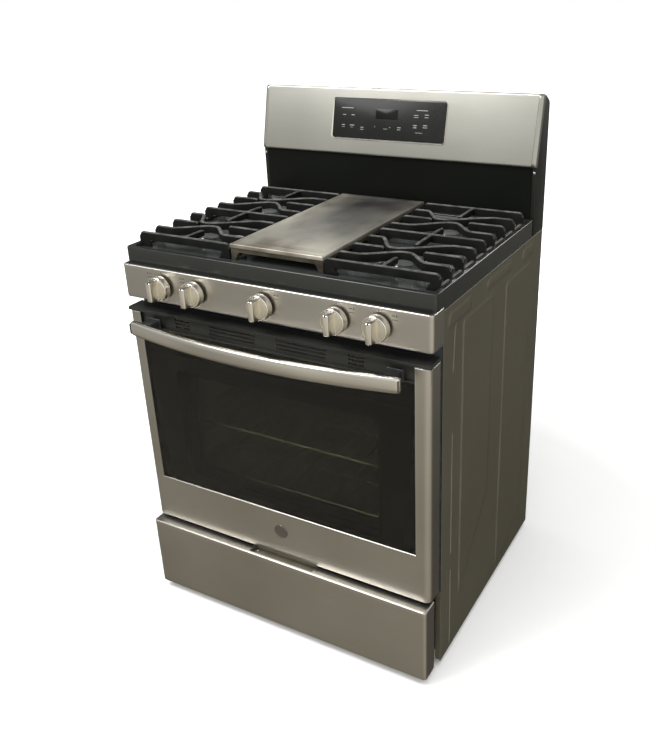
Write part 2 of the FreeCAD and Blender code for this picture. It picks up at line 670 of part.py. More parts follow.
# ---------------------------------------------------------------- cooktop and gas
def cooktop():
    """Pressed cooktop: apron, raised rim, and a lower floor with burner holes."""
    wall = S.side_steel
    wide = (-HALF, HALF)
    deep = (-S.top_front, TOP_REAR)
    low = S.cooktop_height - S.apron
    body = block("cooktop_blank", wide, deep, (low - 4, S.cooktop_height))
    round_edges(body, "cooktop_corners", 9,
                lambda edge: runs_along(edge, "z") and low_in(edge, "y", body.Tip.Shape))
    round_edges(body, "cooktop_rim_edge", 2.2,
                lambda edge: not runs_along(edge, "z") and not low_in(edge, "z", body.Tip.Shape)
                and edge.Length > 5 and edge.BoundBox.ZLength < 0.01)
    under = box("cooktop_under", (wide[0] + wall, wide[1] - wall), (deep[0] + wall, deep[1] - wall),
                (low - 10, S.cooktop_height - wall))
    front_step = box("apron_step", (wide[0] - 5, wide[1] + 5), (deep[0] - 5, deep[0] + 12), (low - 10, low))
    edge = S.rim
    well_x = (wide[0] + edge, wide[1] - edge)
    well_y = (deep[0] + edge, deep[1] - edge)
    tray = block("cooktop_tray", (well_x[0] - wall, well_x[1] + wall), (well_y[0] - wall, well_y[1] + wall),
                 (BASIN - wall, S.cooktop_height - wall / 2))
    well = block("cooktop_well", well_x, well_y, (BASIN, S.cooktop_height + 10))
    round_edges(well, "well_corners", 16, lambda item: runs_along(item, "z"))
    holes = [rod("burner_hole", "z", S.burner_radius - 9.5, (x, y, BASIN - 20), 40) for x, y in BURNERS]
    shell = cut("cooktop_shell", body, [fuse("cooktop_space", [under, front_step])])
    node("cooktop", cut("cooktop", fuse("cooktop_with_tray", [shell, tray]), [well] + holes))


def gas_pipes():
    """The manifold pipe behind the knobs, its run to the rear, and the burner feeds."""
    pipe_y = -S.pipe_back
    side_x = HALF - 30
    route = [(-S.knob_outer - 50, pipe_y, PIPE_Z), (side_x, pipe_y, PIPE_Z), (side_x, PIPE_REAR, PIPE_Z),
             (side_x, PIPE_REAR, CROSSING_Z), (INLET_X, PIPE_REAR, CROSSING_Z), (INLET_X, PIPE_REAR, INLET_Z + 30)]
    core = [(route[0][0] + 3, pipe_y, PIPE_Z)] + route[1:5] + [(INLET_X, PIPE_REAR, INLET_Z)]
    outer = tube_run("manifold_outer", S.pipe_radius, route)
    inner = tube_run("manifold_bore", S.pipe_radius - S.pipe_wall, core)
    node("manifold_pipe", cut("manifold_pipe", outer, [inner]))
    feeds = []
    for number, (x, y) in enumerate(BURNERS):
        knob = KNOBS[(0, 4, 1, 3, 2)[number]]
        run = [(knob, pipe_y - 9, FEED_Z), (knob, y, FEED_Z)]
        if number < 4:
            run.append((x, y, FEED_Z))
        run.append((x, y, JET_Z))
        feeds.append(tube_run("feed_%d" % number, S.feed_tube, run))
    node("burner_tubes", group("burner_tubes", feeds))


GAS_OPENING_X = (HALF - 150, HALF - 60)
GAS_OPENING_Z = (S.foot_height + 40, S.foot_height + 140)
INLET_X = (GAS_OPENING_X[0] + GAS_OPENING_X[1]) / 2
INLET_Z = (GAS_OPENING_Z[0] + GAS_OPENING_Z[1]) / 2
PIPE_REAR = S.cabinet_depth - 46
CROSSING_Z = INLET_Z + 64
FEED_Z = PIPE_Z + S.pipe_radius + S.feed_tube + 5.5
JET_Z = S.cooktop_height - 42
STEM_FRONT = S.panel_face + S.knob_gap + S.knob_deep + 2
VALVE_FRONT = S.panel_face - 6


def pressure_regulator():
    """Regulator under the pipe's end, with the range's male gas inlet at its rear."""
    radius = S.inlet_radius + 12
    reach = S.pipe_radius + 4
    profile = ((size(0), size(-20)), (radius - 4, size(-20)), (radius, size(-14)), (radius, size(4)),
               (S.inlet_radius + 5, reach), (size(0), reach))
    body = turned("regulator", profile, (INLET_X, PIPE_REAR, INLET_Z), "y")
    neck = rod("regulator_neck", "z", S.pipe_radius + 3, (INLET_X, PIPE_REAR, INLET_Z), 29.5)
    inlet = rod("gas_inlet", "y", S.inlet_radius, (INLET_X, PIPE_REAR + reach - 1, INLET_Z), S.inlet_length + 1)
    node("pressure_regulator", fuse("pressure_regulator", [body, neck, inlet]))


def gas_valves():
    """Five valve bodies saddled on the manifold, each with a bore for its stem."""
    valves = []
    for number, x in enumerate(KNOBS):
        front = -VALVE_FRONT
        back = -S.pipe_back - S.pipe_radius - 0.2
        shell = box("valve_block", span(x, 22), (front, back), (PANEL_MIDDLE - 22, FEED_Z + 7))
        arm = box("valve_head", span(x, 14), (back - 2, -S.pipe_back - 9.5), (FEED_Z - 5, FEED_Z + 7))
        bore = rod("valve_bore", "y", S.stem_radius + S.fit, (x, front - 1, PANEL_MIDDLE), back - front - 1)
        port = rod("valve_port", "y", S.feed_tube + S.fit, (x, -S.pipe_back - 9.2, FEED_Z), 5)
        valves.append(cut("valve_%d" % number, fuse("valve_raw_%d" % number, [shell, arm]), [bore, port]))
    node("gas_valves", group("gas_valves", valves))


def burners():
    """Burner heads and their caps: four round ones and one under the griddle."""
    heads, caps, sparks = [], [], []
    deck = BASIN + 0.3
    for number, (x, y) in enumerate(BURNERS):
        radius = S.burner_radius
        neck = radius - 10
        head = ((size(0), JET_Z + 0.3), (neck * 0.8, JET_Z + 0.3), (neck, JET_Z + 8), (neck, deck),
                (radius, deck), (radius, deck + 4), (radius - 5, deck + 5), (radius - 5, deck + 11),
                (size(0), deck + 11))
        heads.append(turned("head_%d" % number, head, (x, y, 0)))
        bottom = deck + 11.3
        cap = ((size(0), bottom), (radius - 1, bottom), (radius - 0.2, bottom + 2), (radius - 4, bottom + 6.5),
               (radius * 0.5, bottom + 8), (size(0), bottom + 8))
        caps.append(turned("cap_%d" % number, cap, (x, y, 0)))
        sparks.append(rod("spark_%d" % number, "z", 2.2, (x, y - radius - 4, BASIN + 0.3), 13))
    node("burner_heads", group("burner_heads", heads))
    node("burner_caps", group("burner_caps", caps))
    node("igniters", group("igniters", sparks))


def bowed_bar(x0, x1, y_side, y_peak, z0, z1):
    """A cast bar that runs straight in from both sides and arches to a peak in its middle."""
    half = float(S.bar_wide) / 2
    middle, quarter = (x0 + x1) / 2, (x1 - x0) / 4
    rows = []
    for offset in (-half, half):
        left = Vector(x0, y_side + offset, z0)
        shoulder = Vector(middle - quarter, y_side + offset, z0)
        peak = Vector(middle, y_peak + offset, z0)
        end = Vector(middle + quarter, y_side + offset, z0)
        right = Vector(x1, y_side + offset, z0)
        rows.append((left, shoulder, peak, end, right))
    front, back = rows
    edges = [Part.makeLine(front[0], front[1]), Part.Arc(*front[1:4]).toShape(),
             Part.makeLine(front[3], front[4]), Part.makeLine(front[4], back[4]),
             Part.makeLine(back[4], back[3]), Part.Arc(*back[3:0:-1]).toShape(),
             Part.makeLine(back[1], back[0]), Part.makeLine(back[0], front[0])]
    return Part.Face(Part.Wire(edges)).extrude(Vector(0, 0, z1 - z0))


def grate_shape(left, right):
    """A cast grate: outer frame, bars arched towards the burners, fingers and legs."""
    top = float(GRATE_TOP)
    low = top - float(S.bar_tall)
    bar = float(S.bar_wide)
    near = float(S.grate_front)
    far = near + float(S.grate_depth)
    middle = (left + right) / 2
    centre = (near + far) / 2
    half = (far - near) / 2

    def beam(x0, x1, y0, y1, z0=low, z1=top):
        return Part.makeBox(x1 - x0, y1 - y0, z1 - z0, Vector(x0, y0, z0))

    pieces = [beam(left, right, y - bar / 2, y + bar / 2)
              for y in (near + bar / 2, centre - bar / 4, far - bar / 2)]
    lower = low - 7
    pieces += [beam(x, x + bar, near, far, lower, low + 4) for x in (left, right - bar)]
    pieces.append(beam(middle - bar / 2, middle + bar / 2, centre - half * 0.30, centre + half * 0.30))
    for sign in SIDES:
        burner = centre + sign * (float(S.burner_rear) - float(S.burner_front)) / 2
        far_side, near_side = burner + sign * 62, burner - sign * 62
        pieces.append(bowed_bar(left, right, far_side, burner + sign * 9, low, top))
        pieces.append(bowed_bar(left, right, near_side, burner - sign * 9, low, top))
        finger = (right - left) * 0.34
        pieces.append(beam(left, left + finger, burner - bar / 2, burner + bar / 2))
        pieces.append(beam(right - finger, right, burner - bar / 2, burner + bar / 2))
        ends = sorted((centre + sign * half, centre + sign * half * 0.70))
        pieces.append(beam(middle - bar / 2, middle + bar / 2, ends[0], ends[1]))
    ground = float(BASIN) + 0.3
    for x in (left, right - bar):
        for y in (near, centre - bar / 2, far - bar):
            pieces.append(beam(x, x + bar, y, y + bar, ground, low + 4))
    return pieces[0].fuse(pieces[1:]).removeSplitter()


def grates():
    """The two side grates, one shape mirrored about the middle."""
    inner = float(S.griddle_half) + 2.5
    outer = inner + float(S.grate_width)
    for name, left, right in (("grate_left", -outer, -inner), ("grate_right", inner, outer)):
        grate = doc.addObject("Part::Feature", name)
        grate.Shape = grate_shape(left, right)
        bind(grate, "Placement.Base.y", FRONT)
        node(name, grate)


def griddle():
    """Cast griddle: shallow plate with a raised wall, a front trough and four legs."""
    half = S.griddle_half
    near = S.grate_front
    far = S.grate_front + S.grate_depth
    low = GRATE_TOP - 14
    plate = block("griddle_plate", (-half, half), (near, far), (low, GRATE_TOP + 1))
    round_edges(plate, "griddle_corners", 7, lambda edge: runs_along(edge, "z"))
    well = block("griddle_well", (-half + 9, half - 9), (near + 30, far - 22),
                 (low + S.griddle_wall - 2, GRATE_TOP + 10))
    round_edges(well, "griddle_well_corners", 6, lambda edge: runs_along(edge, "z"))
    trough = block("griddle_trough", (-half + 9, half - 9), (near + 10, near + 24),
                   (low + S.griddle_wall - 4.5, GRATE_TOP + 10))
    legs = [box("griddle_leg", mirrored(side, half - 14, half), (y, y + 14), (BASIN + 0.3, low + 2))
            for side in SIDES for y in (near + 6, far - 20)]
    node("griddle", fuse("griddle", [cut("griddle_dish", plate, [well, trough])] + legs))


# ---------------------------------------------------------------- control panel
def control_panel():
    """Bright formed panel with five stem holes, open at the rear."""
    wall = S.side_steel
    wide = (-HALF, HALF)
    y = (-S.panel_face, size(0))
    tall = (PANEL_BOTTOM, PANEL_TOP)
    body = block("panel_blank", wide, y, tall)
    round_edges(body, "panel_corners", S.panel_round,
                lambda edge: runs_along(edge, "z") and low_in(edge, "y", body.Tip.Shape))
    round_edges(body, "panel_top_edge", 4,
                lambda edge: edge.BoundBox.ZLength < 0.01 and not low_in(edge, "z", body.Tip.Shape)
                and low_in(edge, "y", body.Tip.Shape, 0.9) and edge.BoundBox.YLength < float(S.panel_round) + 1)
    inside = box("panel_inside", (wide[0] + wall, wide[1] - wall), (y[0] + wall, size(10)),
                 (tall[0] + wall, tall[1] - wall))
    behind = box("panel_behind", (wide[0] - 5, wide[1] + 5), (-S.top_front - 2, size(10)),
                 (SIDE_TOP - 1, tall[1] + 5))
    holes = [rod("stem_hole", "y", S.stem_radius + 2.5, (x, y[0] - 10, PANEL_MIDDLE), 30) for x in KNOBS]
    node("control_panel", cut("control_panel", body, [fuse("panel_space", [inside, behind])] + holes))


def knobs():
    """Five knobs and the valve stems that they turn."""
    back = -S.panel_face - S.knob_gap
    face = back - S.knob_deep
    for number, x in enumerate(KNOBS, 1):
        dial = turned("dial_%d" % number, (
            (size(0), size(0)), (S.knob_radius, size(0)), (S.knob_radius, S.knob_deep * 0.55),
            (S.knob_radius - 3, S.knob_deep), (size(0), S.knob_deep)), (x, face, PANEL_MIDDLE), "y")
        dial.Placement = Placement(Vector(), Rotation(AXIS["z"], -AXIS["y"]))
        place(dial, x, back, PANEL_MIDDLE)
        grip = block("grip_%d" % number, span(x, S.grip_wide), (face - S.grip_deep, face + 2),
                     span(PANEL_MIDDLE, S.knob_radius * 2 - 5))
        round_edges(grip, "grip_round_%d" % number, 3, lambda edge: low_in(edge, "y", grip.Tip.Shape))
        socket = rod("knob_socket", "y", S.stem_radius + S.fit, (x, -STEM_FRONT - 2, PANEL_MIDDLE), STEM_FRONT)
        whole = fuse("knob_raw_%d" % number, [dial, grip])
        node("knob_%d" % number, cut("knob_%d" % number, whole, [socket]))
        stem = rod("valve_stem_%d" % number, "y", S.stem_radius, (x, -STEM_FRONT, PANEL_MIDDLE),
                   STEM_FRONT - VALVE_FRONT + 9)
        node("valve_stem_%d" % number, stem)


# ---------------------------------------------------------------- backguard
def backguard():
    """Folded steel backguard housing, open behind the console."""
    wall = S.sheet
    low = SIDE_TOP + 1.5
    front, rear = S.guard_front, S.cabinet_depth
    slope = (S.overall_height - GUARD_REAR_TOP) / (rear - console_face(S.overall_height))
    nose_y = console_face(S.overall_height) + 8
    nose_z = GUARD_REAR_TOP + slope * (rear - nose_y)
    inner_z = nose_z - wall * 1.3
    points = ((front, CONSOLE_BOTTOM - 1), (front, low), (rear, low), (rear, GUARD_REAR_TOP),
              (nose_y, nose_z), (nose_y, inner_z), (rear - wall, GUARD_REAR_TOP - wall),
              (rear - wall, low + wall), (front + wall, low + wall), (front + wall, CONSOLE_BOTTOM - 1))
    half = HALF - S.end_cap - 0.5
    node("backguard", prism("backguard", "YZ", points, -half, half))


def console_panel():
    """Leaning bright console face with a folded top and the display's opening."""
    wall = S.sheet
    half = HALF - S.end_cap - 0.5
    low, high = CONSOLE_BOTTOM, S.overall_height
    base, tip = console_face(low), console_face(high)
    points = ((base, low), (tip, high), (tip + 6, high), (tip + 6, high - wall), (tip + wall, high - wall),
              (base + wall, low + wall), (base + 8, low + wall), (base + 8, low))
    face = prism("console_face", "YZ", points, -half, half)
    window = box("display_opening", (-S.display_left, S.display_right), (base - 5, tip + 2),
                 (DISPLAY_BOTTOM, DISPLAY_TOP))
    node("console_panel", cut("console_panel", face, [window]))
    glass_low, glass_high = DISPLAY_BOTTOM + 0.4, DISPLAY_TOP - 0.4
    lower, upper = console_face(glass_low), console_face(glass_high)
    pane = ((lower - 0.6, glass_low), (upper - 0.6, glass_high), (upper + 3, glass_high), (lower + 3, glass_low))
    node("display_glass", prism("display_glass", "YZ", pane, -S.display_left + 0.4, S.display_right - 0.4))
    board_y = (tip + 2, tip + 20)
    node("control_board", box("control_board", span(0, 180), board_y,
                              (DISPLAY_BOTTOM + 12, DISPLAY_TOP - 10)))


def console_end_caps():
    """The backguard's two moulded ends, a group of mirrored solids."""
    low = SIDE_TOP + 1.5
    rear = S.cabinet_depth
    points = ((S.guard_front, low), (rear, low), (rear, GUARD_REAR_TOP),
              (console_face(S.overall_height), S.overall_height), (S.console_front, CONSOLE_BOTTOM),
              (S.guard_front, CONSOLE_BOTTOM))
    ends = [prism("end_cap_%d" % number, "YZ", points, *mirrored(side, HALF - S.end_cap, HALF))
            for number, side in enumerate(SIDES)]
    node("console_end_caps", group("console_end_caps", ends))


# ---------------------------------------------------------------- oven door
HINGE_Z = S.door_bottom + S.hinge_rise
HINGE_Y = -S.hinge_drop
DOOR_HALF = HALF - S.door_side
GLASS_HALF = DOOR_HALF - S.door_strip
GLASS_BOTTOM = S.door_bottom + S.door_band
GLASS_TOP = DOOR_TOP - S.trim_height
CAP_BOTTOM = DOOR_TOP - S.cap_height


def hinge_notches(name):
    """Room for the hinge arms while the door swings through a quarter turn."""
    return [box(name, span(x, S.hinge_arm + 1), (HINGE_Y - 9, size(0)), (S.door_bottom - 5, HINGE_Z + 9))
            for x in hinge_middles()]


def door_skin():
    """Bright outer skin: bottom band, side strips and returns round the glass."""
    wall = S.side_steel
    x, y = (-DOOR_HALF, DOOR_HALF), (-S.door_face, -S.door_back)
    body = block("door_blank", x, y, (S.door_bottom, CAP_BOTTOM))
    round_edges(body, "door_edges", S.door_round, lambda edge: low_in(edge, "y", body.Tip.Shape) and (
        runs_along(edge, "z") or runs_along(edge, "x") and low_in(edge, "z", body.Tip.Shape)))
    inside = block("door_inside", (x[0] + wall, x[1] - wall), (y[0] + wall, y[1] + 10),
                   (S.door_bottom + wall, CAP_BOTTOM + 5))
    round_edges(inside, "door_inside_edges", S.door_round - wall,
                lambda edge: low_in(edge, "y", inside.Tip.Shape) and (
                    runs_along(edge, "z") or runs_along(edge, "x") and low_in(edge, "z", inside.Tip.Shape)))
    window = box("skin_window", (-GLASS_HALF, GLASS_HALF), (y[0] - 5, y[0] + 5), (GLASS_BOTTOM, CAP_BOTTOM + 5))
    node("door_skin", cut("door_skin", body, [fuse("door_space", [inside, window])]
                          + hinge_notches("skin_notch")))


def door_glass():
    """Black outer pane flush with the skin, and the clear inner pane at the liner."""
    gap = 0.5
    node("door_glass_outer", box(
        "door_glass_outer", (-GLASS_HALF + gap, GLASS_HALF - gap),
        (-S.door_face + gap, -S.door_face + gap + S.glass), (GLASS_BOTTOM + gap, GLASS_TOP)))
    back = -S.door_back - LINER - 0.4
    node("door_glass_inner", box("door_glass_inner", span(0, S.window_width + 24), (back - S.glass, back),
                                 (S.window_bottom - 12, WINDOW_TOP + 12)))


LINER = S.sheet


def door_liner():
    """Enamelled inner panel of the door, with the window and the hinge notches."""
    wall = S.side_steel
    half = DOOR_HALF - wall - 0.5
    low, high = S.door_bottom + wall + 0.5, CAP_BOTTOM - 1
    plate = box("liner_plate", (-half, half), (-S.door_back - LINER, -S.door_back), (low, high))
    hem = [box("liner_hem", mirrored(side, half - LINER, half), (-S.door_back - 16, -S.door_back),
               (low, high)) for side in SIDES]
    window = box("liner_window", span(0, S.window_width), (-S.door_back - 10, -S.door_back + 5),
                 (S.window_bottom, WINDOW_TOP))
    node("door_liner", cut("door_liner", fuse("liner_folded", [plate] + hem),
                           [window] + hinge_notches("liner_notch")))


def door_seal():
    """Woven gasket on the door liner, a ring round the oven opening."""
    y = (-S.door_back + 0.2, size(-0.5))
    half = S.cavity_width / 2
    ring = box("seal_outer", (-half - 22, half + 22), y, (S.cavity_bottom - 9, CAVITY_TOP + 22))
    hole = box("seal_inner", (-half - 10, half + 10), (y[0] - 5, y[1] + 5),
               (S.cavity_bottom + 3, CAVITY_TOP + 10))
    node("door_seal", cut("door_seal", ring, [hole]))


def door_top_trim():
    """Recessed vent trim above the glass with its slots, under the door's cap."""
    face = (-S.door_face + 7, -S.door_face + 10)
    inner = DOOR_HALF - S.side_steel - 0.6
    web = box("trim_web", (-inner, inner), face, (GLASS_TOP + 0.4, CAP_BOTTOM + 1))
    sill = box("trim_sill", (-GLASS_HALF + 0.5, GLASS_HALF - 0.5), (-S.door_face + 0.5, face[1]),
               (GLASS_TOP + 0.4, GLASS_TOP + 3))
    cap = box("trim_cap", (-DOOR_HALF, DOOR_HALF), (-S.door_face, -S.door_back), (CAP_BOTTOM + 0.3, DOOR_TOP))
    slots = []
    for middle, wide in ((-227.0, 40), (-92.0, 120), (82.0, 120), (212.0, 36)):
        for row in range(3):
            height = GLASS_TOP + 9 + S.vent_pitch * row
            slots.append(box("vent_slot", span(middle, wide), (face[0] - 5, face[1] + 5),
                             (height, height + S.vent_height)))
    node("door_top_trim", cut("door_top_trim", fuse("trim_folded", [web, sill, cap]), slots))


def handle():
    """Bowed bar on two black brackets; its section is a flattened round."""
    half = S.handle_length / 2
    end_y = -S.handle_reach + S.handle_bow
    bar = doc.addObject("Part::Feature", "handle_bar")
    ends = [Vector(float(half) * side, float(end_y), float(HANDLE_Z)) for side in SIDES]
    peak = Vector(0, -float(S.handle_reach), float(HANDLE_Z))
    path = Part.Wire([Part.Arc(ends[0], peak, ends[1]).toShape()])
    start = path.Edges[0].tangentAt(path.Edges[0].FirstParameter)
    deep, tall = float(S.handle_deep) / 2, float(S.handle_tall) / 2
    across = start.cross(AXIS["z"])
    section = Part.Ellipse(ends[0] + AXIS["z"] * tall, ends[0] + across * deep, ends[0]).toShape()
    bar.Shape = path.makePipeShell([Part.Wire([section])], True, True)
    bind(bar, "Placement.Base.y", FRONT)
    node("handle_bar", bar)
    root = -S.door_face - 0.3
    brackets = []
    for number, side in enumerate(SIDES):
        arm = box("bracket_arm", mirrored(side, half - 44, half - 14), (end_y + 4.5, root),
                  span(HANDLE_Z, 20))
        brackets.append(arm)
        arm.Label = "bracket_%d" % number
    shank = [cut("bracket_fitted_%d" % number, arm, [bar]) for number, arm in enumerate(brackets)]
    node("handle_brackets", group("handle_brackets", shank))


def badge():
    """Plain round disc on the door's band."""
    disc = turned("badge", ((size(0), size(0)), (S.badge_radius, size(0)), (S.badge_radius, size(1)),
                            (S.badge_radius - 1, size(2)), (size(0), size(2))), (0, 0, 0), "y")
    disc.Placement = Placement(Vector(), Rotation(AXIS["z"], -AXIS["y"]))
    place(disc, 0, -S.door_face - 0.1, BADGE_Z)
    node("badge", disc)


def door_hinges():
    """Hinge arms with their pins, fixed in the front frame, and the door's cheeks."""
    arms, cheeks = [], []
    thick = S.hinge_arm
    for number, x in enumerate(hinge_middles()):
        arm = box("arm_bar", span(x, thick), (HINGE_Y - 5, S.frame_depth + 16), (HINGE_Z - 6, HINGE_Z + 6))
        hook = box("arm_hook", span(x, thick), (S.frame_depth + 4, S.frame_depth + 16),
                   (HINGE_Z - 12, HINGE_Z + 5))
        pin = rod("arm_pin", "x", S.hinge_pin, (x - thick, HINGE_Y, HINGE_Z), thick * 2)
        arms.append(fuse("arm_%d" % number, [arm, hook, pin]))
        plates = [box("cheek_plate", mirrored(side, thick / 2 + 0.6, thick / 2 + 3.4), (HINGE_Y - 11, HINGE_Y + 14),
                      (HINGE_Z - 12, HINGE_Z + 80)) for side in SIDES]
        bridge = box("cheek_bridge", (-thick / 2 - 3.4, thick / 2 + 3.4), (HINGE_Y - 11, HINGE_Y + 14),
                     (HINGE_Z + 30, HINGE_Z + 80))
        bore = rod("cheek_bore", "x", S.hinge_pin + S.fit, (-thick * 2, HINGE_Y, HINGE_Z), thick * 4)
        cheek = cut("cheek_%d" % number, fuse("cheek_raw_%d" % number, plates + [bridge]), [bore])
        bind(cheek, "Placement.Base.x", x)
        cheeks.append(cheek)
    node("hinge_arms", group("hinge_arms", arms))
    node("hinge_cheeks", group("hinge_cheeks", cheeks))


# ---------------------------------------------------------------- storage drawer
DRAWER_FACE = -S.door_face - S.drawer_ajar
DRAWER_REAR = DRAWER_FACE + S.drawer_thick
DRAWER_HALF = HALF - S.runner_room


def drawer_front():
    """Bright drawer front: a shell with a ledge on top and a finger opening in it."""
    wall = S.side_steel
    x, y = (-DOOR_HALF, DOOR_HALF), (DRAWER_FACE, DRAWER_REAR)
    z = (S.drawer_bottom, S.drawer_top)
    body = block("drawer_blank", x, y, z)
    round_edges(body, "drawer_edges", S.door_round, lambda edge: low_in(edge, "y", body.Tip.Shape)
                and runs_along(edge, "z"))
    inside = box("drawer_inside", (x[0] + wall, x[1] - wall), (y[0] + wall, y[1] + 10), (z[0] + wall, z[1] - wall))
    back = box("drawer_back", (x[0] + wall, x[1] - wall), (y[1] - wall * 1.5, y[1]), (z[0] + wall, z[1] - 30))
    pull = block("drawer_pull", span(0, S.pull_width), (y[0] + 8, y[0] + 8 + S.pull_deep), (z[1] - 5, z[1] + 5))
    round_edges(pull, "drawer_pull_ends", 6, lambda edge: runs_along(edge, "z"))
    shell = cut("drawer_shell", body, [inside, pull])
    node("drawer_front", fuse("drawer_front", [shell, back]))


def drawer_box():
    """Open steel box behind the drawer front."""
    y = (DRAWER_REAR + 0.2, DRAWER_REAR + 0.2 + S.drawer_depth)
    outer, inner = hollow_box("drawer_bin", (-DRAWER_HALF, DRAWER_HALF), y,
                              (S.drawer_floor, S.drawer_floor + S.drawer_wall), S.sheet, ("top",))
    node("drawer_box", cut("drawer_box", outer, [inner]))


def drawer_tracks():
    """Slides on the drawer's sides, and the runners in the cabinet that carry them."""
    height = S.drawer_floor + 24
    slides, runners = [], []
    for number, side in enumerate(SIDES):
        slides.append(box("slide_%d" % number, mirrored(side, DRAWER_HALF + 0.2, DRAWER_HALF + 12),
                          (DRAWER_REAR + 6, DRAWER_REAR + S.drawer_depth), (height, height + 14)))
        shelf = box("runner_shelf", mirrored(side, DRAWER_HALF + 3, INNER - 3),
                    (size(6), S.cabinet_depth - 30), (height - 2.3, height - 0.5))
        web = box("runner_web", mirrored(side, INNER - 5, INNER - 3), (size(6), S.cabinet_depth - 30),
                  (height - 2, height + 34))
        hood = box("runner_hood", mirrored(side, DRAWER_HALF + 3, INNER - 3),
                   (size(6), S.cabinet_depth - 30), (height + 15, height + 16.8))
        runners.append(fuse("runner_%d" % number, [shelf, web, hood]))
    node("drawer_slides", group("drawer_slides", slides))
    node("drawer_runners", group("drawer_runners", runners))


def rear_fittings():
    """The cord's strain relief in the rear panel, and the spark module."""
    low = S.foot_height + 50
    seat = S.cabinet_depth - S.side_steel - 0.5
    ring = rod("gland_ring", "y", 17, (-HALF + 90, seat, low + 60), 2)
    neck = rod("gland_neck", "y", 13.5, (-HALF + 90, seat - 14, low + 60), 15)
    bore = rod("gland_bore", "y", 5, (-HALF + 90, seat - 20, low + 60), 40)
    node("cord_gland", cut("cord_gland", fuse("gland_raw", [ring, neck]), [bore]))
    node("spark_module", box("spark_module", span(-HALF + 160, 90), (seat - S.sheet - 34, seat - S.sheet - 0.5),
                             (CAVITY_TOP - 40, CAVITY_TOP + 20)))


# ---------------------------------------------------------------- build and export
def build():
    """Make every sub-part."""
    side_panel(-1, "side_panel_left")
    side_panel(1, "side_panel_right")
    rear_panel()
    screws()
    base_frame()
    levelling_legs()
    front_frame()
    oven_cavity()
    insulation()
    oven_floor()
    oven_burners()
    lamp_and_sensor()
    oven_rack("oven_rack_lower", 0)
    oven_rack("oven_rack_upper", 2)
    cooktop()
    gas_pipes()
    pressure_regulator()
    gas_valves()
    burners()
    grates()
    griddle()
    control_panel()
    knobs()
    backguard()
    console_panel()
    console_end_caps()
    door_skin()
    door_glass()
    door_liner()
    door_seal()
    door_top_trim()
    handle()
    badge()
    door_hinges()
    drawer_front()
    drawer_box()
    drawer_tracks()
    rear_fittings()


def check_and_export():
    """Refuse a failed document, then write one STEP file for each sub-part."""
    doc.recompute()
    for thing in doc.Objects:
        if "Invalid" in thing.State or "Error" in thing.State:
            raise RuntimeError("%s did not recompute: %s" % (thing.Label, thing.State))
    for thing in NODES:
        if thing.Shape.isNull() or not thing.Shape.isValid() or not thing.Shape.Solids:
            raise RuntimeError("%s has no valid shape" % thing.Label)
    os.makedirs("parts", exist_ok=True)
    for thing in NODES:
        thing.Shape.exportStep("parts/%s.step" % thing.Label)
    print("%d sub-parts written" % len(NODES))


build()
check_and_export()
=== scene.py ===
"""Freestanding gas range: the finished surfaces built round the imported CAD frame.

Lengths are metres in the frame's own axes: +Z up, +X to the right of a person
facing the range, -Y towards that person.  Places come from the frame's nodes.
"""
import logging
import math
from dataclasses import dataclass, field
from enum import Enum

import bpy
import numpy as np
from mathutils import Matrix, Vector


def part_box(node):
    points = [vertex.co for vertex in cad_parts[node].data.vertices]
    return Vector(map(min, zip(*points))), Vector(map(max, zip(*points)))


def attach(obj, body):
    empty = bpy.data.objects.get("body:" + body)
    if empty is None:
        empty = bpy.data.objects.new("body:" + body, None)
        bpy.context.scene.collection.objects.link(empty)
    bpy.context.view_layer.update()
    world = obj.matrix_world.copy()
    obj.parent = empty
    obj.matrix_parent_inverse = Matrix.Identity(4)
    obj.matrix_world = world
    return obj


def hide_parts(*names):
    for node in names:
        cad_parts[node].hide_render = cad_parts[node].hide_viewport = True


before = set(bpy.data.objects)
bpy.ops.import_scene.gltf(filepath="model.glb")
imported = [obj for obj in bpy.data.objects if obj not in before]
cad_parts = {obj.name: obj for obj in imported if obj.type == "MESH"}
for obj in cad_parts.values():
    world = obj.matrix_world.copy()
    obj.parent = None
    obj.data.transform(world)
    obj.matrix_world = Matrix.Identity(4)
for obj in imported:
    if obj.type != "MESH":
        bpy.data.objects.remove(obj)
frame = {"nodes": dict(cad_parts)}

Array = np.ndarray
Colour = tuple[float, float, float]
LOG = logging.getLogger("range")
MM = 0.001
SIDES = (-1, 1)


# ---------------------------------------------------------------- places
@dataclass(frozen=True)
class Extent:
    """The box of a CAD node at rest, in metres."""

    x0: float
    x1: float
    y0: float
    y1: float
    z0: float
    z1: float

    @classmethod
    def of(cls, node: str) -> "Extent":
        """The box of one CAD node."""
        low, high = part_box(node)
        return cls(low.x, high.x, low.y, high.y, low.z, high.z)

    @property
    def middle(self) -> Array:
        """The centre of the box."""
        return np.array([self.x0 + self.x1, self.y0 + self.y1, self.z0 + self.z1]) / 2


# ---------------------------------------------------------------- surfaces
def grid_faces(rows: int, columns: int, wrap_rows: bool = False, wrap_columns: bool = False) -> Array:
    """Four-sided faces of a grid of points that is numbered row by row.

    Face (i, j) joins point (i, j) to its neighbours in the next row and the
    next column; wrapping joins the last row or column to the first.

    Args:
        rows: number of rows of points.
        columns: number of points in a row.
        wrap_rows: the last row joins the first.
        wrap_columns: the last column joins the first.

    Returns:
        One row of four point numbers for each face.
    """
    i = np.arange(rows if wrap_rows else rows - 1)[:, None]
    j = np.arange(columns if wrap_columns else columns - 1)[None, :]
    after_i, after_j = (i + 1) % rows, (j + 1) % columns
    corners = [i * columns + j, i * columns + after_j, after_i * columns + after_j, after_i * columns + j]
    return np.stack(np.broadcast_arrays(*corners), axis=-1).reshape(-1, 4)


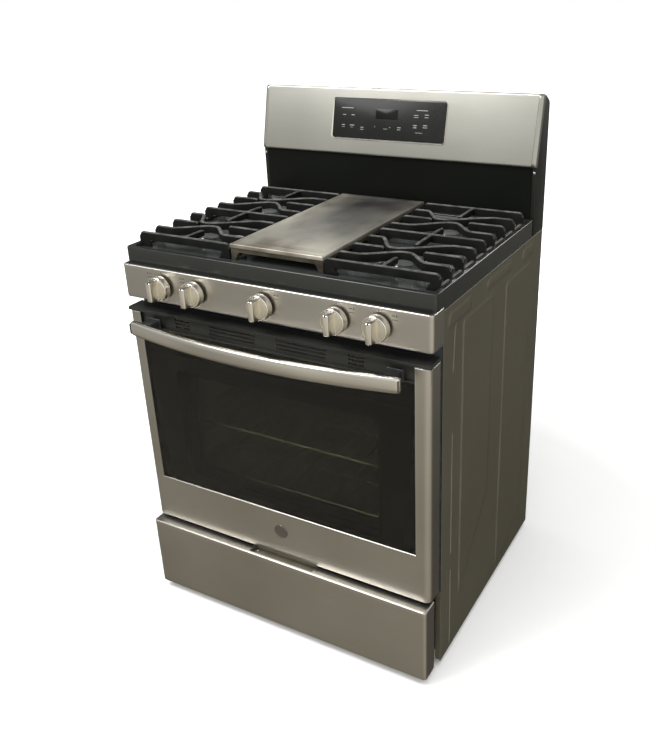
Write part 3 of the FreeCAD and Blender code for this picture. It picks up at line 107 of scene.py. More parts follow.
def smooth(value: Array, start: float, end: float) -> Array:
    """Rises from 0 at start to 1 at end: with t the share of the way, 3 t squared minus 2 t cubed."""
    share = np.clip((value - start) / (end - start), 0.0, 1.0)
    return share * share * (3.0 - 2.0 * share)


def ramped(value: Array, start: float, end: float) -> Array:
    """Rises from 0 at start to 1 at end: half of it straight and half of it smooth."""
    return 0.6 * np.clip((value - start) / (end - start), 0.0, 1.0) + 0.4 * smooth(value, start, end)


def rounded(corners: Array, radius: float | Array, steps: int = 4) -> Array:
    """A closed outline with its corners rounded.

    Each corner c becomes the curve (1-t)^2 a + 2 t (1-t) c + t^2 b, where a and
    b lie the radius away from c on its two sides.

    Args:
        corners: the outline's corners, one pair each.
        radius: distance from a corner to where its curve starts; one, or one each.
        steps: parts of each curve.

    Returns:
        The points of the rounded outline, one pair each.
    """
    corners = np.asarray(corners, float)
    reach = np.broadcast_to(np.asarray(radius, float), len(corners))[:, None]
    before, after = np.roll(corners, 1, axis=0) - corners, np.roll(corners, -1, axis=0) - corners
    a = corners + before / np.linalg.norm(before, axis=1, keepdims=True) * reach
    b = corners + after / np.linalg.norm(after, axis=1, keepdims=True) * reach
    t = np.linspace(0.0, 1.0, steps + 1)[None, :, None]
    curve = (1 - t) ** 2 * a[:, None] + 2 * t * (1 - t) * corners[:, None] + t**2 * b[:, None]
    return curve.reshape(-1, 2)


def rectangle_rings(half_u: Array, half_v: Array, radius: Array, steps: int = 6) -> Array:
    """Rounded rectangles about the origin, one ring for each entry.

    A ring's point is its corner centre plus the radius times (cos a, sin a),
    with a going once round in four quarters.

    Args:
        half_u: half width of each ring.
        half_v: half height of each ring.
        radius: corner radius of each ring.
        steps: parts of each quarter circle.

    Returns:
        Points by ring, then round the ring, as pairs.
    """
    half_u, half_v, radius = np.broadcast_arrays(*(np.atleast_1d(np.asarray(v, float))
                                                   for v in (half_u, half_v, radius)))
    quarter = np.arange(4)[:, None] * (math.pi / 2)
    angle = quarter + np.linspace(0.0, math.pi / 2, steps + 1)[None, :]
    sign_u = np.array([1, -1, -1, 1])[:, None]
    sign_v = np.array([1, 1, -1, -1])[:, None]
    u = sign_u * (half_u - radius)[:, None, None] + radius[:, None, None] * np.cos(angle)
    v = sign_v * (half_v - radius)[:, None, None] + radius[:, None, None] * np.sin(angle)
    return np.stack([u, v], axis=-1).reshape(len(half_u), -1, 2)


def lifted(flat: Array, height: Array) -> Array:
    """Joins (u, v) pairs and a height that is spread over them into points."""
    return np.concatenate([flat, np.broadcast_to(height[..., None], flat.shape[:-1] + (1,))], axis=-1)


@dataclass
class Skin:
    """Points and faces of one piece, gathered one closed solid at a time."""

    points: list[Array] = field(default_factory=list)
    faces: list[list[int]] = field(default_factory=list)
    count: int = 0

    def add(self, points: Array, *groups: Array) -> "Skin":
        """Adds a closed solid with its faces turned outwards.

        Six times the solid's volume is the sum of a . (b x c) over the faces'
        triangles, each drawn from its face's first corner; where the sum is
        negative every face is reversed.

        Args:
            points: the solid's points, in any grid shape.
            groups: faces, each group with one number of corners.

        Returns:
            This skin.
        """
        points = np.asarray(points, float).reshape(-1, 3)
        local = points - points.mean(axis=0)
        volume = 0.0
        for group in groups:
            for corner in range(1, group.shape[1] - 1):
                cross = np.cross(local[group[:, corner]], local[group[:, corner + 1]])
                volume += float(np.einsum("ij,ij->", local[group[:, 0]], cross))
        for group in groups:
            turned = group if volume > 0 else group[:, ::-1]
            self.faces += (turned + self.count).tolist()
        self.points.append(points)
        self.count += len(points)
        return self

    def tube(self, points: Array, closed: bool = False) -> "Skin":
        """Adds rings of points joined into a solid: closed into a loop, or with flat ends.

        Args:
            points: points by ring, then round the ring.
            closed: the last ring joins the first.

        Returns:
            This skin.
        """
        rings, around = points.shape[:2]
        sides = grid_faces(rings, around, closed, True)
        if closed:
            return self.add(points, sides)
        first = np.arange(around)[None, ::-1]
        last = np.arange((rings - 1) * around, rings * around)[None]
        return self.add(points, sides, first, last)

    def swept(self, path: Array, across: Array, up: Array, profile: Array) -> "Skin":
        """Adds a profile carried along a path: point = path + across * u + up * v.

        Args:
            path: the path's points.
            across: the direction of u, one or one for each path point.
            up: the direction of v, likewise.
            profile: (u, v) corners, one outline or one for each path point.

        Returns:
            This skin.
        """
        path = np.asarray(path, float)
        across = np.broadcast_to(np.asarray(across, float), path.shape)[:, None]
        up = np.broadcast_to(np.asarray(up, float), path.shape)[:, None]
        profile = np.broadcast_to(profile, (len(path),) + np.shape(profile)[-2:])
        return self.tube(path[:, None] + across * profile[..., :1] + up * profile[..., 1:])

    def prism(self, outline: Array, axis: str, low: float, high: float, bevel: float = 0.0) -> "Skin":
        """Adds an outline carried straight along an axis, its two ends drawn in by a small bevel.

        Args:
            outline: corners in the two other axes, in the order x, y, z.
            axis: "x", "y" or "z".
            low: where it starts.
            high: where it ends.
            bevel: how far the end rings are drawn in towards the outline's middle.

        Returns:
            This skin.
        """
        outline = np.asarray(outline, float)
        middle = (outline.min(axis=0) + outline.max(axis=0)) / 2
        half = np.maximum((outline.max(axis=0) - outline.min(axis=0)) / 2, 1e-9)
        stops = [(low, 0.0), (high, 0.0)]
        if bevel:
            stops = [(low, bevel), (low + bevel * 0.3, bevel * 0.3), (low + bevel, 0.0),
                     (high - bevel, 0.0), (high - bevel * 0.3, bevel * 0.3), (high, bevel)]
        place = "xyz".index(axis)
        rest = [number for number in range(3) if number != place]
        points = np.zeros((len(stops), len(outline), 3))
        for row, (at, inset) in enumerate(stops):
            points[row, :, rest] = (middle + (outline - middle) * (1 - inset / half)).T
            points[row, :, place] = at
        return self.tube(points)

    def block(self, x: tuple[float, float], y: tuple[float, float], z: tuple[float, float],
              radius: float = 0.001, steps: int = 3) -> "Skin":
        """Adds a box whose edges are rounded, as rings in z with their corners rounded in x and y.

        The rings near both ends are drawn in by radius * (1 - sin a), with a
        going from 0 to a quarter turn.

        Args:
            x: where it starts and ends across.
            y: where it starts and ends from front to back.
            z: where it starts and ends in height.
            radius: radius of the rounded edges.
            steps: parts of each quarter circle.

        Returns:
            This skin.
        """
        half = np.array([x[1] - x[0], y[1] - y[0]]) / 2
        radius = min(radius, half.min() * 0.98, (z[1] - z[0]) / 2.05)
        turn = np.linspace(0.0, math.pi / 2, steps + 1)
        inset = np.r_[radius * (1 - np.sin(turn)), radius * (1 - np.cos(turn))]
        rise = np.r_[z[0] + radius * (1 - np.cos(turn)), z[1] - radius * (1 - np.sin(turn))]
        corner = np.maximum(radius * 1.01 - inset, radius * 0.08)
        rings = rectangle_rings(half[0] - inset, half[1] - inset, corner, steps)
        points = lifted(rings, rise[:, None])
        points[..., :2] += [sum(x) / 2, sum(y) / 2]
        return self.tube(points)

    def lathed(self, profile: Array, centre: Array, axis: str = "z", count: int = 48,
               flute: Array | None = None, flutes: int = 0) -> "Skin":
        """Adds a profile of (radius, rise) turned round an axis through the centre.

        A point is centre + radius (cos a, sin a) across the axis + rise along it.
        A first or last radius of 0 is one pole point.  A flute draws its row's
        radius in by that much wherever the cosine of flutes times a is below 0.

        Args:
            profile: (radius, rise) rows.
            centre: the point that rises are measured from.
            axis: "x", "y" or "z".
            count: points round a ring.
            flute: how far each profile row is drawn in.
            flutes: how many flutes there are round a ring.

        Returns:
            This skin.
        """
        profile = np.asarray(profile, float)
        angle = np.linspace(0.0, 2 * math.pi, count, endpoint=False)
        poles = profile[:, 0] < 1e-9
        rings = profile[~poles]
        radius = np.repeat(rings[:, :1], count, axis=1)
        if flute is not None:
            radius = radius - np.asarray(flute)[~poles][:, None] * (np.cos(flutes * angle)[None] < 0)
        place = "xyz".index(axis)
        first, second = [number for number in range(3) if number != place]
        points = np.zeros(radius.shape + (3,))
        points[..., first] = radius * np.cos(angle)
        points[..., second] = radius * np.sin(angle)
        points[..., place] = rings[:, 1:]
        points = points.reshape(-1, 3)
        total, groups = len(points), [grid_faces(len(rings), count, False, True)]
        ring = np.arange(count)
        for end, rise in ((0, profile[0]), (len(rings) - 1, profile[-1])):
            near, far = ring + end * count, np.roll(ring, -1) + end * count
            pair = (near, far) if end else (far, near)
            if rise[0] < 1e-9:
                tip = np.zeros((1, 3))
                tip[0, place] = rise[1]
                points = np.concatenate([points, tip])
                groups.append(np.stack([*pair, np.full(count, total)], axis=1))
                total += 1
            else:
                groups.append((near if end else near[::-1])[None])
        return self.add(points + np.asarray(centre, float), *groups)

    def sheet(self, front: Array, back: Array, keep: Array | None = None) -> "Skin":
        """Adds a closed sheet between two grids of points.

        The cells that are kept get a face on both grids, and a wall stands
        wherever a kept cell borders one that is left out or the sheet's edge.

        Args:
            front: grid of points of one side.
            back: grid of points of the other side, of the same shape.
            keep: which cells stay, or None for all of them.

        Returns:
            This skin.
        """
        rows, columns = front.shape[:2]
        kept = np.ones((rows - 1, columns - 1), bool) if keep is None else keep
        number = np.arange(rows * columns).reshape(rows, columns)
        below = rows * columns
        a, b, c, d = number[:-1, :-1], number[:-1, 1:], number[1:, 1:], number[1:, :-1]
        top = np.stack([a, b, c, d], axis=-1)[kept]
        bottom = np.stack([a, d, c, b], axis=-1)[kept] + below
        padded = np.pad(kept, 1)
        walls = []
        for before, after, step in ((padded[1:-1, :-1], padded[1:-1, 1:], (1, 0)),
                                    (padded[1:, 1:-1], padded[:-1, 1:-1], (0, 1))):
            for only, forward in ((after & ~before, True), (before & ~after, False)):
                i, j = np.nonzero(only)
                p, q = number[i, j], number[i + step[0], j + step[1]]
                p, q = (p, q) if forward else (q, p)
                walls.append(np.stack([p, q, q + below, p + below], axis=1))
        points = np.concatenate([front.reshape(-1, 3), back.reshape(-1, 3)])
        return self.add(points, top, bottom, *(wall for wall in walls if len(wall)))

    def build(self, name: str, sharp: float = 34.0) -> bpy.types.Object:
        """Makes the Blender object, smooth except along sharp edges.

        Args:
            name: the object's name.
            sharp: the angle in degrees past which an edge is sharp.

        Returns:
            The object, in the scene.
        """
        used = np.zeros(self.count, bool)
        used[np.concatenate([np.asarray(face) for face in self.faces])] = True
        renumber = np.cumsum(used) - 1
        points = np.concatenate(self.points)[used]
        mesh = bpy.data.meshes.new(name)
        mesh.from_pydata(points.tolist(), [], [renumber[face].tolist() for face in self.faces])
        mesh.update()
        mesh.shade_smooth()
        mesh.set_sharp_from_angle(angle=math.radians(sharp))
        piece = bpy.data.objects.new(name, mesh)
        bpy.context.scene.collection.objects.link(piece)
        return piece


def wrapped_plan(half: float, face: float, back: float, radius: float, columns: Array) -> tuple[Array, Array]:
    """The plan of a sheet that is bent back round both ends, and its outward directions.

    It runs from the left end's rear edge forwards, round a quarter circle, along
    the face through the columns, and back again; outwards is the path's normal.

    Args:
        half: half the width.
        face: y of the face.
        back: y of both rear edges.
        radius: radius of the bends.
        columns: x places on the face where a row of points must stand.

    Returns:
        The plan's points and the outward unit directions, as pairs.
    """
    angle = np.linspace(0.0, math.pi / 2, 9)
    bend = np.stack([half - radius + radius * np.sin(angle), face + radius - radius * np.cos(angle)], axis=1)
    bend_out = np.stack([np.sin(angle), -np.cos(angle)], axis=1)
    right = np.concatenate([bend, [[half, back]]])
    right_out = np.concatenate([bend_out, [[1.0, 0.0]]])
    inner = np.unique(np.round(columns[np.abs(columns) < half - radius - 0.0005], 7))
    middle = np.stack([inner, np.full(len(inner), face)], axis=1)
    middle_out = np.tile([0.0, -1.0], (len(inner), 1))
    flip = np.array([-1.0, 1.0])
    return (np.concatenate([right[::-1] * flip, middle, right]),
            np.concatenate([right_out[::-1] * flip, middle_out, right_out]))


def rolled_rows(low: float, high: float, roll: float, heights: Array, tuck: float) -> tuple[Array, Array]:
    """Heights and insets of a sheet whose lower and upper edges roll inwards.

    Args:
        low: lower edge.
        high: upper edge.
        roll: radius of both rolled edges.
        heights: heights in between where a row of points must stand.
        tuck: how far the edge goes on inwards past the roll.

    Returns:
        The height and the inset of each row, from the bottom up.
    """
    angle = np.linspace(0.0, math.pi / 2, 6)
    inset = roll * (1 - np.sin(angle))
    rise = roll * (1 - np.cos(angle))
    inner = np.sort(heights[(heights > low + roll) & (heights < high - roll)])
    return (np.concatenate([[low], low + rise, inner, (high - rise)[::-1], [high]]),
            np.concatenate([[roll + tuck], inset, np.zeros(len(inner)), inset[::-1], [roll + tuck]]))


def wrapped_sheet(skin: Skin, plan: tuple[Array, Array], rows: tuple[Array, Array], wall: float,
                  keep: Array | None = None) -> Skin:
    """A bent sheet of steel: point = plan - outward * inset, at the row's height.

    Args:
        skin: the skin that it is added to.
        plan: points and outward directions from wrapped_plan.
        rows: heights and insets from rolled_rows.
        wall: the sheet's thickness.
        keep: which cells stay.

    Returns:
        The same skin.
    """
    (line, outward), (heights, insets) = plan, rows

    def side(extra: float) -> Array:
        """The sheet's grid of points, moved inwards by an extra distance."""
        height = np.clip(heights, heights[0] + extra, heights[-1] - extra)
        return lifted(line[None] - outward[None] * (insets + extra)[:, None, None], height[:, None])

    return skin.sheet(side(0.0), side(wall), keep)


def between(values: Array, low: float, high: float) -> Array:
    """Which gaps between neighbouring values lie inside a range."""
    middle = (values[1:] + values[:-1]) / 2
    return (middle > low) & (middle < high)


# ---------------------------------------------------------------- finishes
@dataclass
class Nodes:
    """A short way to write the nodes of a tree."""

    tree: bpy.types.NodeTree

    def add(self, kind: str, values: dict | None = None, settings: dict | None = None,
            **links: bpy.types.NodeSocket) -> bpy.types.Node:
        """Adds a node.

        Args:
            kind: the node's type after ShaderNode.
            values: numbers for its sockets, by name or place.
            settings: its own properties.
            links: sockets that feed its inputs; spaces in names are written as underscores,
                and a place is written as s0, s1 and so on.

        Returns:
            The node.
        """
        node = self.tree.nodes.new("ShaderNode" + kind)
        for key, value in (settings or {}).items():
            setattr(node, key, value)
        for key, value in (values or {}).items():
            node.inputs[key].default_value = value
        for key, socket in links.items():
            place = int(key[1:]) if key[1:].isdigit() else key.replace("_", " ")
            self.tree.links.new(socket, node.inputs[place])
        return node

    def ramp(self, source: bpy.types.NodeSocket, low: float, high: float, start: float = 0.0,
             end: float = 1.0) -> bpy.types.NodeSocket:
        """Maps one range of values to another, held at both ends.

        Args:
            source: the values.
            low: the value that gives start.
            high: the value that gives end.
            start: the result at and below low.
            end: the result at and above high.

        Returns:
            The mapped values.
        """
        values = {"From Min": low, "From Max": high, "To Min": start, "To Max": end}
        return self.add("MapRange", values, Value=source).outputs["Result"]

    def maths(self, kind: str, first: bpy.types.NodeSocket, second: object) -> bpy.types.NodeSocket:
        """One sum of two values.

        Args:
            kind: the sum, such as ADD or MULTIPLY.
            first: the first value.
            second: the second value, a socket or a number.

        Returns:
            The result.
        """
        if isinstance(second, (int, float)):
            return self.add("Math", {1: second}, {"operation": kind}, s0=first).outputs[0]
        return self.add("Math", None, {"operation": kind}, s0=first, s1=second).outputs[0]

    def mix(self, share: bpy.types.NodeSocket, first: object, second: object) -> bpy.types.NodeSocket:
        """Mixes two colours.

        Args:
            share: how much of the second is in the mix.
            first: a colour or a socket.
            second: a colour or a socket.

        Returns:
            The mixed colour.
        """
        node = self.add("Mix", None, {"data_type": "RGBA"}, s0=share)
        for place, colour in ((6, first), (7, second)):
            if isinstance(colour, tuple):
                node.inputs[place].default_value = (*colour, 1.0)
            else:
                self.tree.links.new(colour, node.inputs[place])
        return node.outputs[2]


class Graph(Nodes):
    """The nodes of a material round one shader."""

    def __init__(self, name: str) -> None:
        """Starts a material with a shader and its output.

        Args:
            name: the material's name.
        """
        self.material = bpy.data.materials.new(name)
        self.material.use_nodes = True
        super().__init__(self.material.node_tree)
        self.shader = self.tree.nodes["Principled BSDF"]

    def place(self, stretch: Colour = (1, 1, 1)) -> bpy.types.NodeSocket:
        """The point on the object, in metres, stretched along each axis."""
        source = self.add("TexCoord").outputs["Object"]
        return self.add("Mapping", {"Scale": stretch}, Vector=source).outputs["Vector"]

    def noise(self, scale: float, detail: float = 3.0, stretch: Colour = (1, 1, 1)) -> bpy.types.NodeSocket:
        """Cloudy noise from 0 to 1 on the object's own coordinates."""
        node = self.add("TexNoise", {"Scale": scale, "Detail": detail}, Vector=self.place(stretch))
        return node.outputs["Fac"]

    def spots(self, scale: float) -> bpy.types.NodeSocket:
        """Distance to the nearest of many scattered points."""
        return self.add("TexVoronoi", {"Scale": scale}, Vector=self.place()).outputs["Distance"]

    def base(self) -> bpy.types.NodeSocket:
        """The socket that feeds the shader's colour so far."""
        return self.shader.inputs["Base Color"].links[0].from_socket

    def bump(self, height: bpy.types.NodeSocket, strength: float, depth: float,
             under: bpy.types.NodeSocket | None = None) -> bpy.types.NodeSocket:
        """Bumps the surface by a height.

        Args:
            height: the height.
            strength: how strongly it shows.
            depth: metres of height at 1.
            under: another bump that it lies on.

        Returns:
            The bumped normal.
        """
        node = self.add("Bump", {"Strength": strength, "Distance": depth}, Height=height)
        if under is not None:
            self.tree.links.new(under, node.inputs["Normal"])
        return node.outputs["Normal"]

    def set(self, **values: object) -> None:
        """Sets the shader's sockets.

        Args:
            values: by name with underscores for spaces; a socket is linked, and a
                number or colour is written.
        """
        for key, value in values.items():
            target = self.shader.inputs[key.replace("_", " ")]
            if isinstance(value, bpy.types.NodeSocket):
                self.tree.links.new(value, target)
            elif isinstance(value, tuple):
                target.default_value = (*value, 1.0)
            else:
                target.default_value = value


class Grain(Enum):
    """How fine the grain of a finish is along x, y and z: brushed one way, or even."""

    ALONG_X = (5.0, 60.0, 700.0)
    ALONG_Y = (700.0, 5.0, 60.0)
    ALONG_Z = (700.0, 60.0, 5.0)
    SPANGLE = (90.0, 90.0, 90.0)
    CAST = (260.0, 260.0, 260.0)
    GLASS = (300.0, 300.0, 300.0)
    PLAIN = (400.0, 400.0, 400.0)
    FIRED = (500.0, 500.0, 500.0)
    MOULDED = (600.0, 600.0, 600.0)
    ENAMEL = (700.0, 700.0, 700.0)
    SATIN = (900.0, 900.0, 900.0)
    FIBRE = (1400.0, 1400.0, 1400.0)


@dataclass(frozen=True)
class Finish:
    """A finish whose colour drifts, whose gloss varies and whose surface has a grain."""

    name: str
    colour: Colour
    drift: Colour
    roughness: tuple[float, float]
    metallic: float = 0.0
    cloud: float = 9.0
    grain: Grain = Grain.PLAIN
    grain_depth: float = 0.00002
    grain_strength: float = 0.15
    ripple: float = 0.0
    specular: float = 0.5

    def pattern(self, graph: Graph) -> None:
        """Adds what only this finish has; a plain finish has nothing more."""

    def material(self) -> bpy.types.Material:
        """Builds the material: cloudy colour, gloss that follows the clouds, and a fine grain.

        Returns:
            The material.
        """
        graph = Graph(self.name)
        cloud = graph.noise(self.cloud, 5.0)
        fine = graph.noise(1.0, 3.0, self.grain.value)
        tone = graph.ramp(graph.maths("ADD", cloud, graph.maths("MULTIPLY", fine, 0.35)), 0.42, 0.92)
        gloss = graph.ramp(graph.maths("ADD", cloud, graph.maths("MULTIPLY", fine, 0.5)), 0.45, 1.0,
                           *self.roughness)
        normal = graph.bump(fine, self.grain_strength, self.grain_depth)
        if self.ripple:
            normal = graph.bump(graph.noise(26.0, 2.0), 0.3, self.ripple, normal)
        graph.set(Base_Color=graph.mix(tone, self.colour, self.drift), Roughness=gloss, Normal=normal,
                  Metallic=self.metallic, IOR=1.5, Specular_IOR_Level=self.specular)
        self.pattern(graph)
        return graph.material


@dataclass(frozen=True)
class TopHighlighted(Finish):
    """A finish whose upward faces are painted paler, a painted highlight from above."""

    painted_highlight: Colour = (0.10, 0.10, 0.094)

    def pattern(self, graph: Graph) -> None:
        """Mixes in the paler colour, a painted highlight, where the object's own normal points up.

        Args:
            graph: the material.
        """
        # Painted highlight: upward faces turn paler as if lit from above.
        up = graph.add("SeparateXYZ", Vector=graph.add("TexCoord").outputs["Normal"]).outputs["Z"]
        patchy = graph.ramp(graph.noise(55.0, 4.0), 0.35, 0.65, 0.35, 1.0)
        share = graph.maths("MULTIPLY", graph.ramp(up, 0.55, 0.98), patchy)
        graph.set(Base_Color=graph.mix(share, graph.base(), self.painted_highlight))


@dataclass(frozen=True)
class Speckled(Finish):
    """A finish with scattered specks of another colour, such as oven enamel."""

    speck: Colour = (0.35, 0.37, 0.42)
    density: float = 380.0
    size: float = 0.14

    def pattern(self, graph: Graph) -> None:
        """Mixes in the specks within a short distance of scattered points.

        Args:
            graph: the material.
        """
        near = graph.ramp(graph.spots(self.density), self.size * 0.6, self.size, 1.0, 0.0)
        graph.set(Base_Color=graph.mix(near, graph.base(), self.speck))


@dataclass(frozen=True)
class Pressed(Finish):
    """Painted sheet whose pressed edges get a painted highlight on the side facing forwards and painted shade
    on the other.
    """

    pale: Colour = (0.115, 0.105, 0.08)
    painted_shade_tint: Colour = (0.012, 0.011, 0.008)

    def pattern(self, graph: Graph) -> None:
        """Mixes in both colours by the slope values that the mesh carries: painted highlight in patches above
        a half, painted shade below.

        Args:
            graph: the material.
        """
        # Painted light: forward-facing slopes get a pale painted highlight, back-facing slopes a dark painted
        # shade.
        lit_side = graph.add("Attribute", None, {"attribute_name": "lit_side"}).outputs["Fac"]
        highlight_patches = graph.ramp(graph.noise(12.0, 4.0), 0.3, 0.65, 0.45, 1.0)
        painted_highlight = graph.maths("MULTIPLY", graph.ramp(lit_side, 0.55, 0.9), highlight_patches)
        paler = graph.mix(painted_highlight, graph.base(), self.pale)
        darker = graph.ramp(lit_side, 0.1, 0.45, 0.9, 0.0)
        graph.set(Base_Color=graph.mix(darker, paler, self.painted_shade_tint))


@dataclass(frozen=True)
class Seasoned(Finish):
    """Bare griddle steel: browned patches, a darker middle, and scrape marks along y."""

    centre: tuple[float, float] = (0.02, -0.02)
    brown: Colour = (0.06, 0.034, 0.02)
    soot: Colour = (0.018, 0.017, 0.019)

    def pattern(self, graph: Graph) -> None:
        """Mixes in brown haze and soot that thicken towards a place on the plate.

        Args:
            graph: the material.
        """
        split = graph.add("SeparateXYZ", Vector=graph.add("TexCoord").outputs["Object"])
        away_x = graph.maths("ABSOLUTE", graph.maths("SUBTRACT", split.outputs["X"], self.centre[0]), 0.0)
        near = graph.maths("MULTIPLY", graph.ramp(away_x, 0.05, 0.17, 1.0, 0.0),
                           graph.ramp(split.outputs["Y"], self.centre[1] - 0.19, self.centre[1] - 0.04))
        haze = graph.ramp(graph.noise(11.0, 5.0, (1.0, 0.6, 1.0)), 0.42, 0.66)
        patch = graph.ramp(graph.noise(7.0, 6.0), 0.40, 0.60, 0.82, 1.0)
        browned = graph.mix(graph.maths("MULTIPLY", haze, 0.7), graph.base(), self.brown)
        sooty = graph.maths("MULTIPLY", graph.maths("MULTIPLY", near, patch), 0.97)
        graph.set(Base_Color=graph.mix(sooty, browned, self.soot))


@dataclass(frozen=True)
class Pane:
    """Clear or tinted glass."""

    name: str
    colour: Colour
    roughness: float = 0.03
    transmission: float = 1.0
    ior: float = 1.5

    def material(self) -> bpy.types.Material:
        """Builds the material, with a faint film of dust in its gloss.

        Returns:
            The material.
        """
        graph = Graph(self.name)
        film = graph.ramp(graph.noise(14.0, 5.0), 0.45, 0.75, self.roughness, self.roughness + 0.05)
        graph.set(Base_Color=self.colour, Roughness=film, IOR=self.ior, Transmission_Weight=self.transmission)
        return graph.material


@dataclass(frozen=True)
class Paint:
    made: dict = field(default_factory=dict)

    def __getitem__(self, name: str) -> bpy.types.Material:
        """Finds a finish, which is built the first time that it is asked for.

        Args:
            name: the finish's name.

        Returns:
            The material.
        """
        if name not in self.made:
            self.made[name] = FINISHES[name].material()
        return self.made[name]


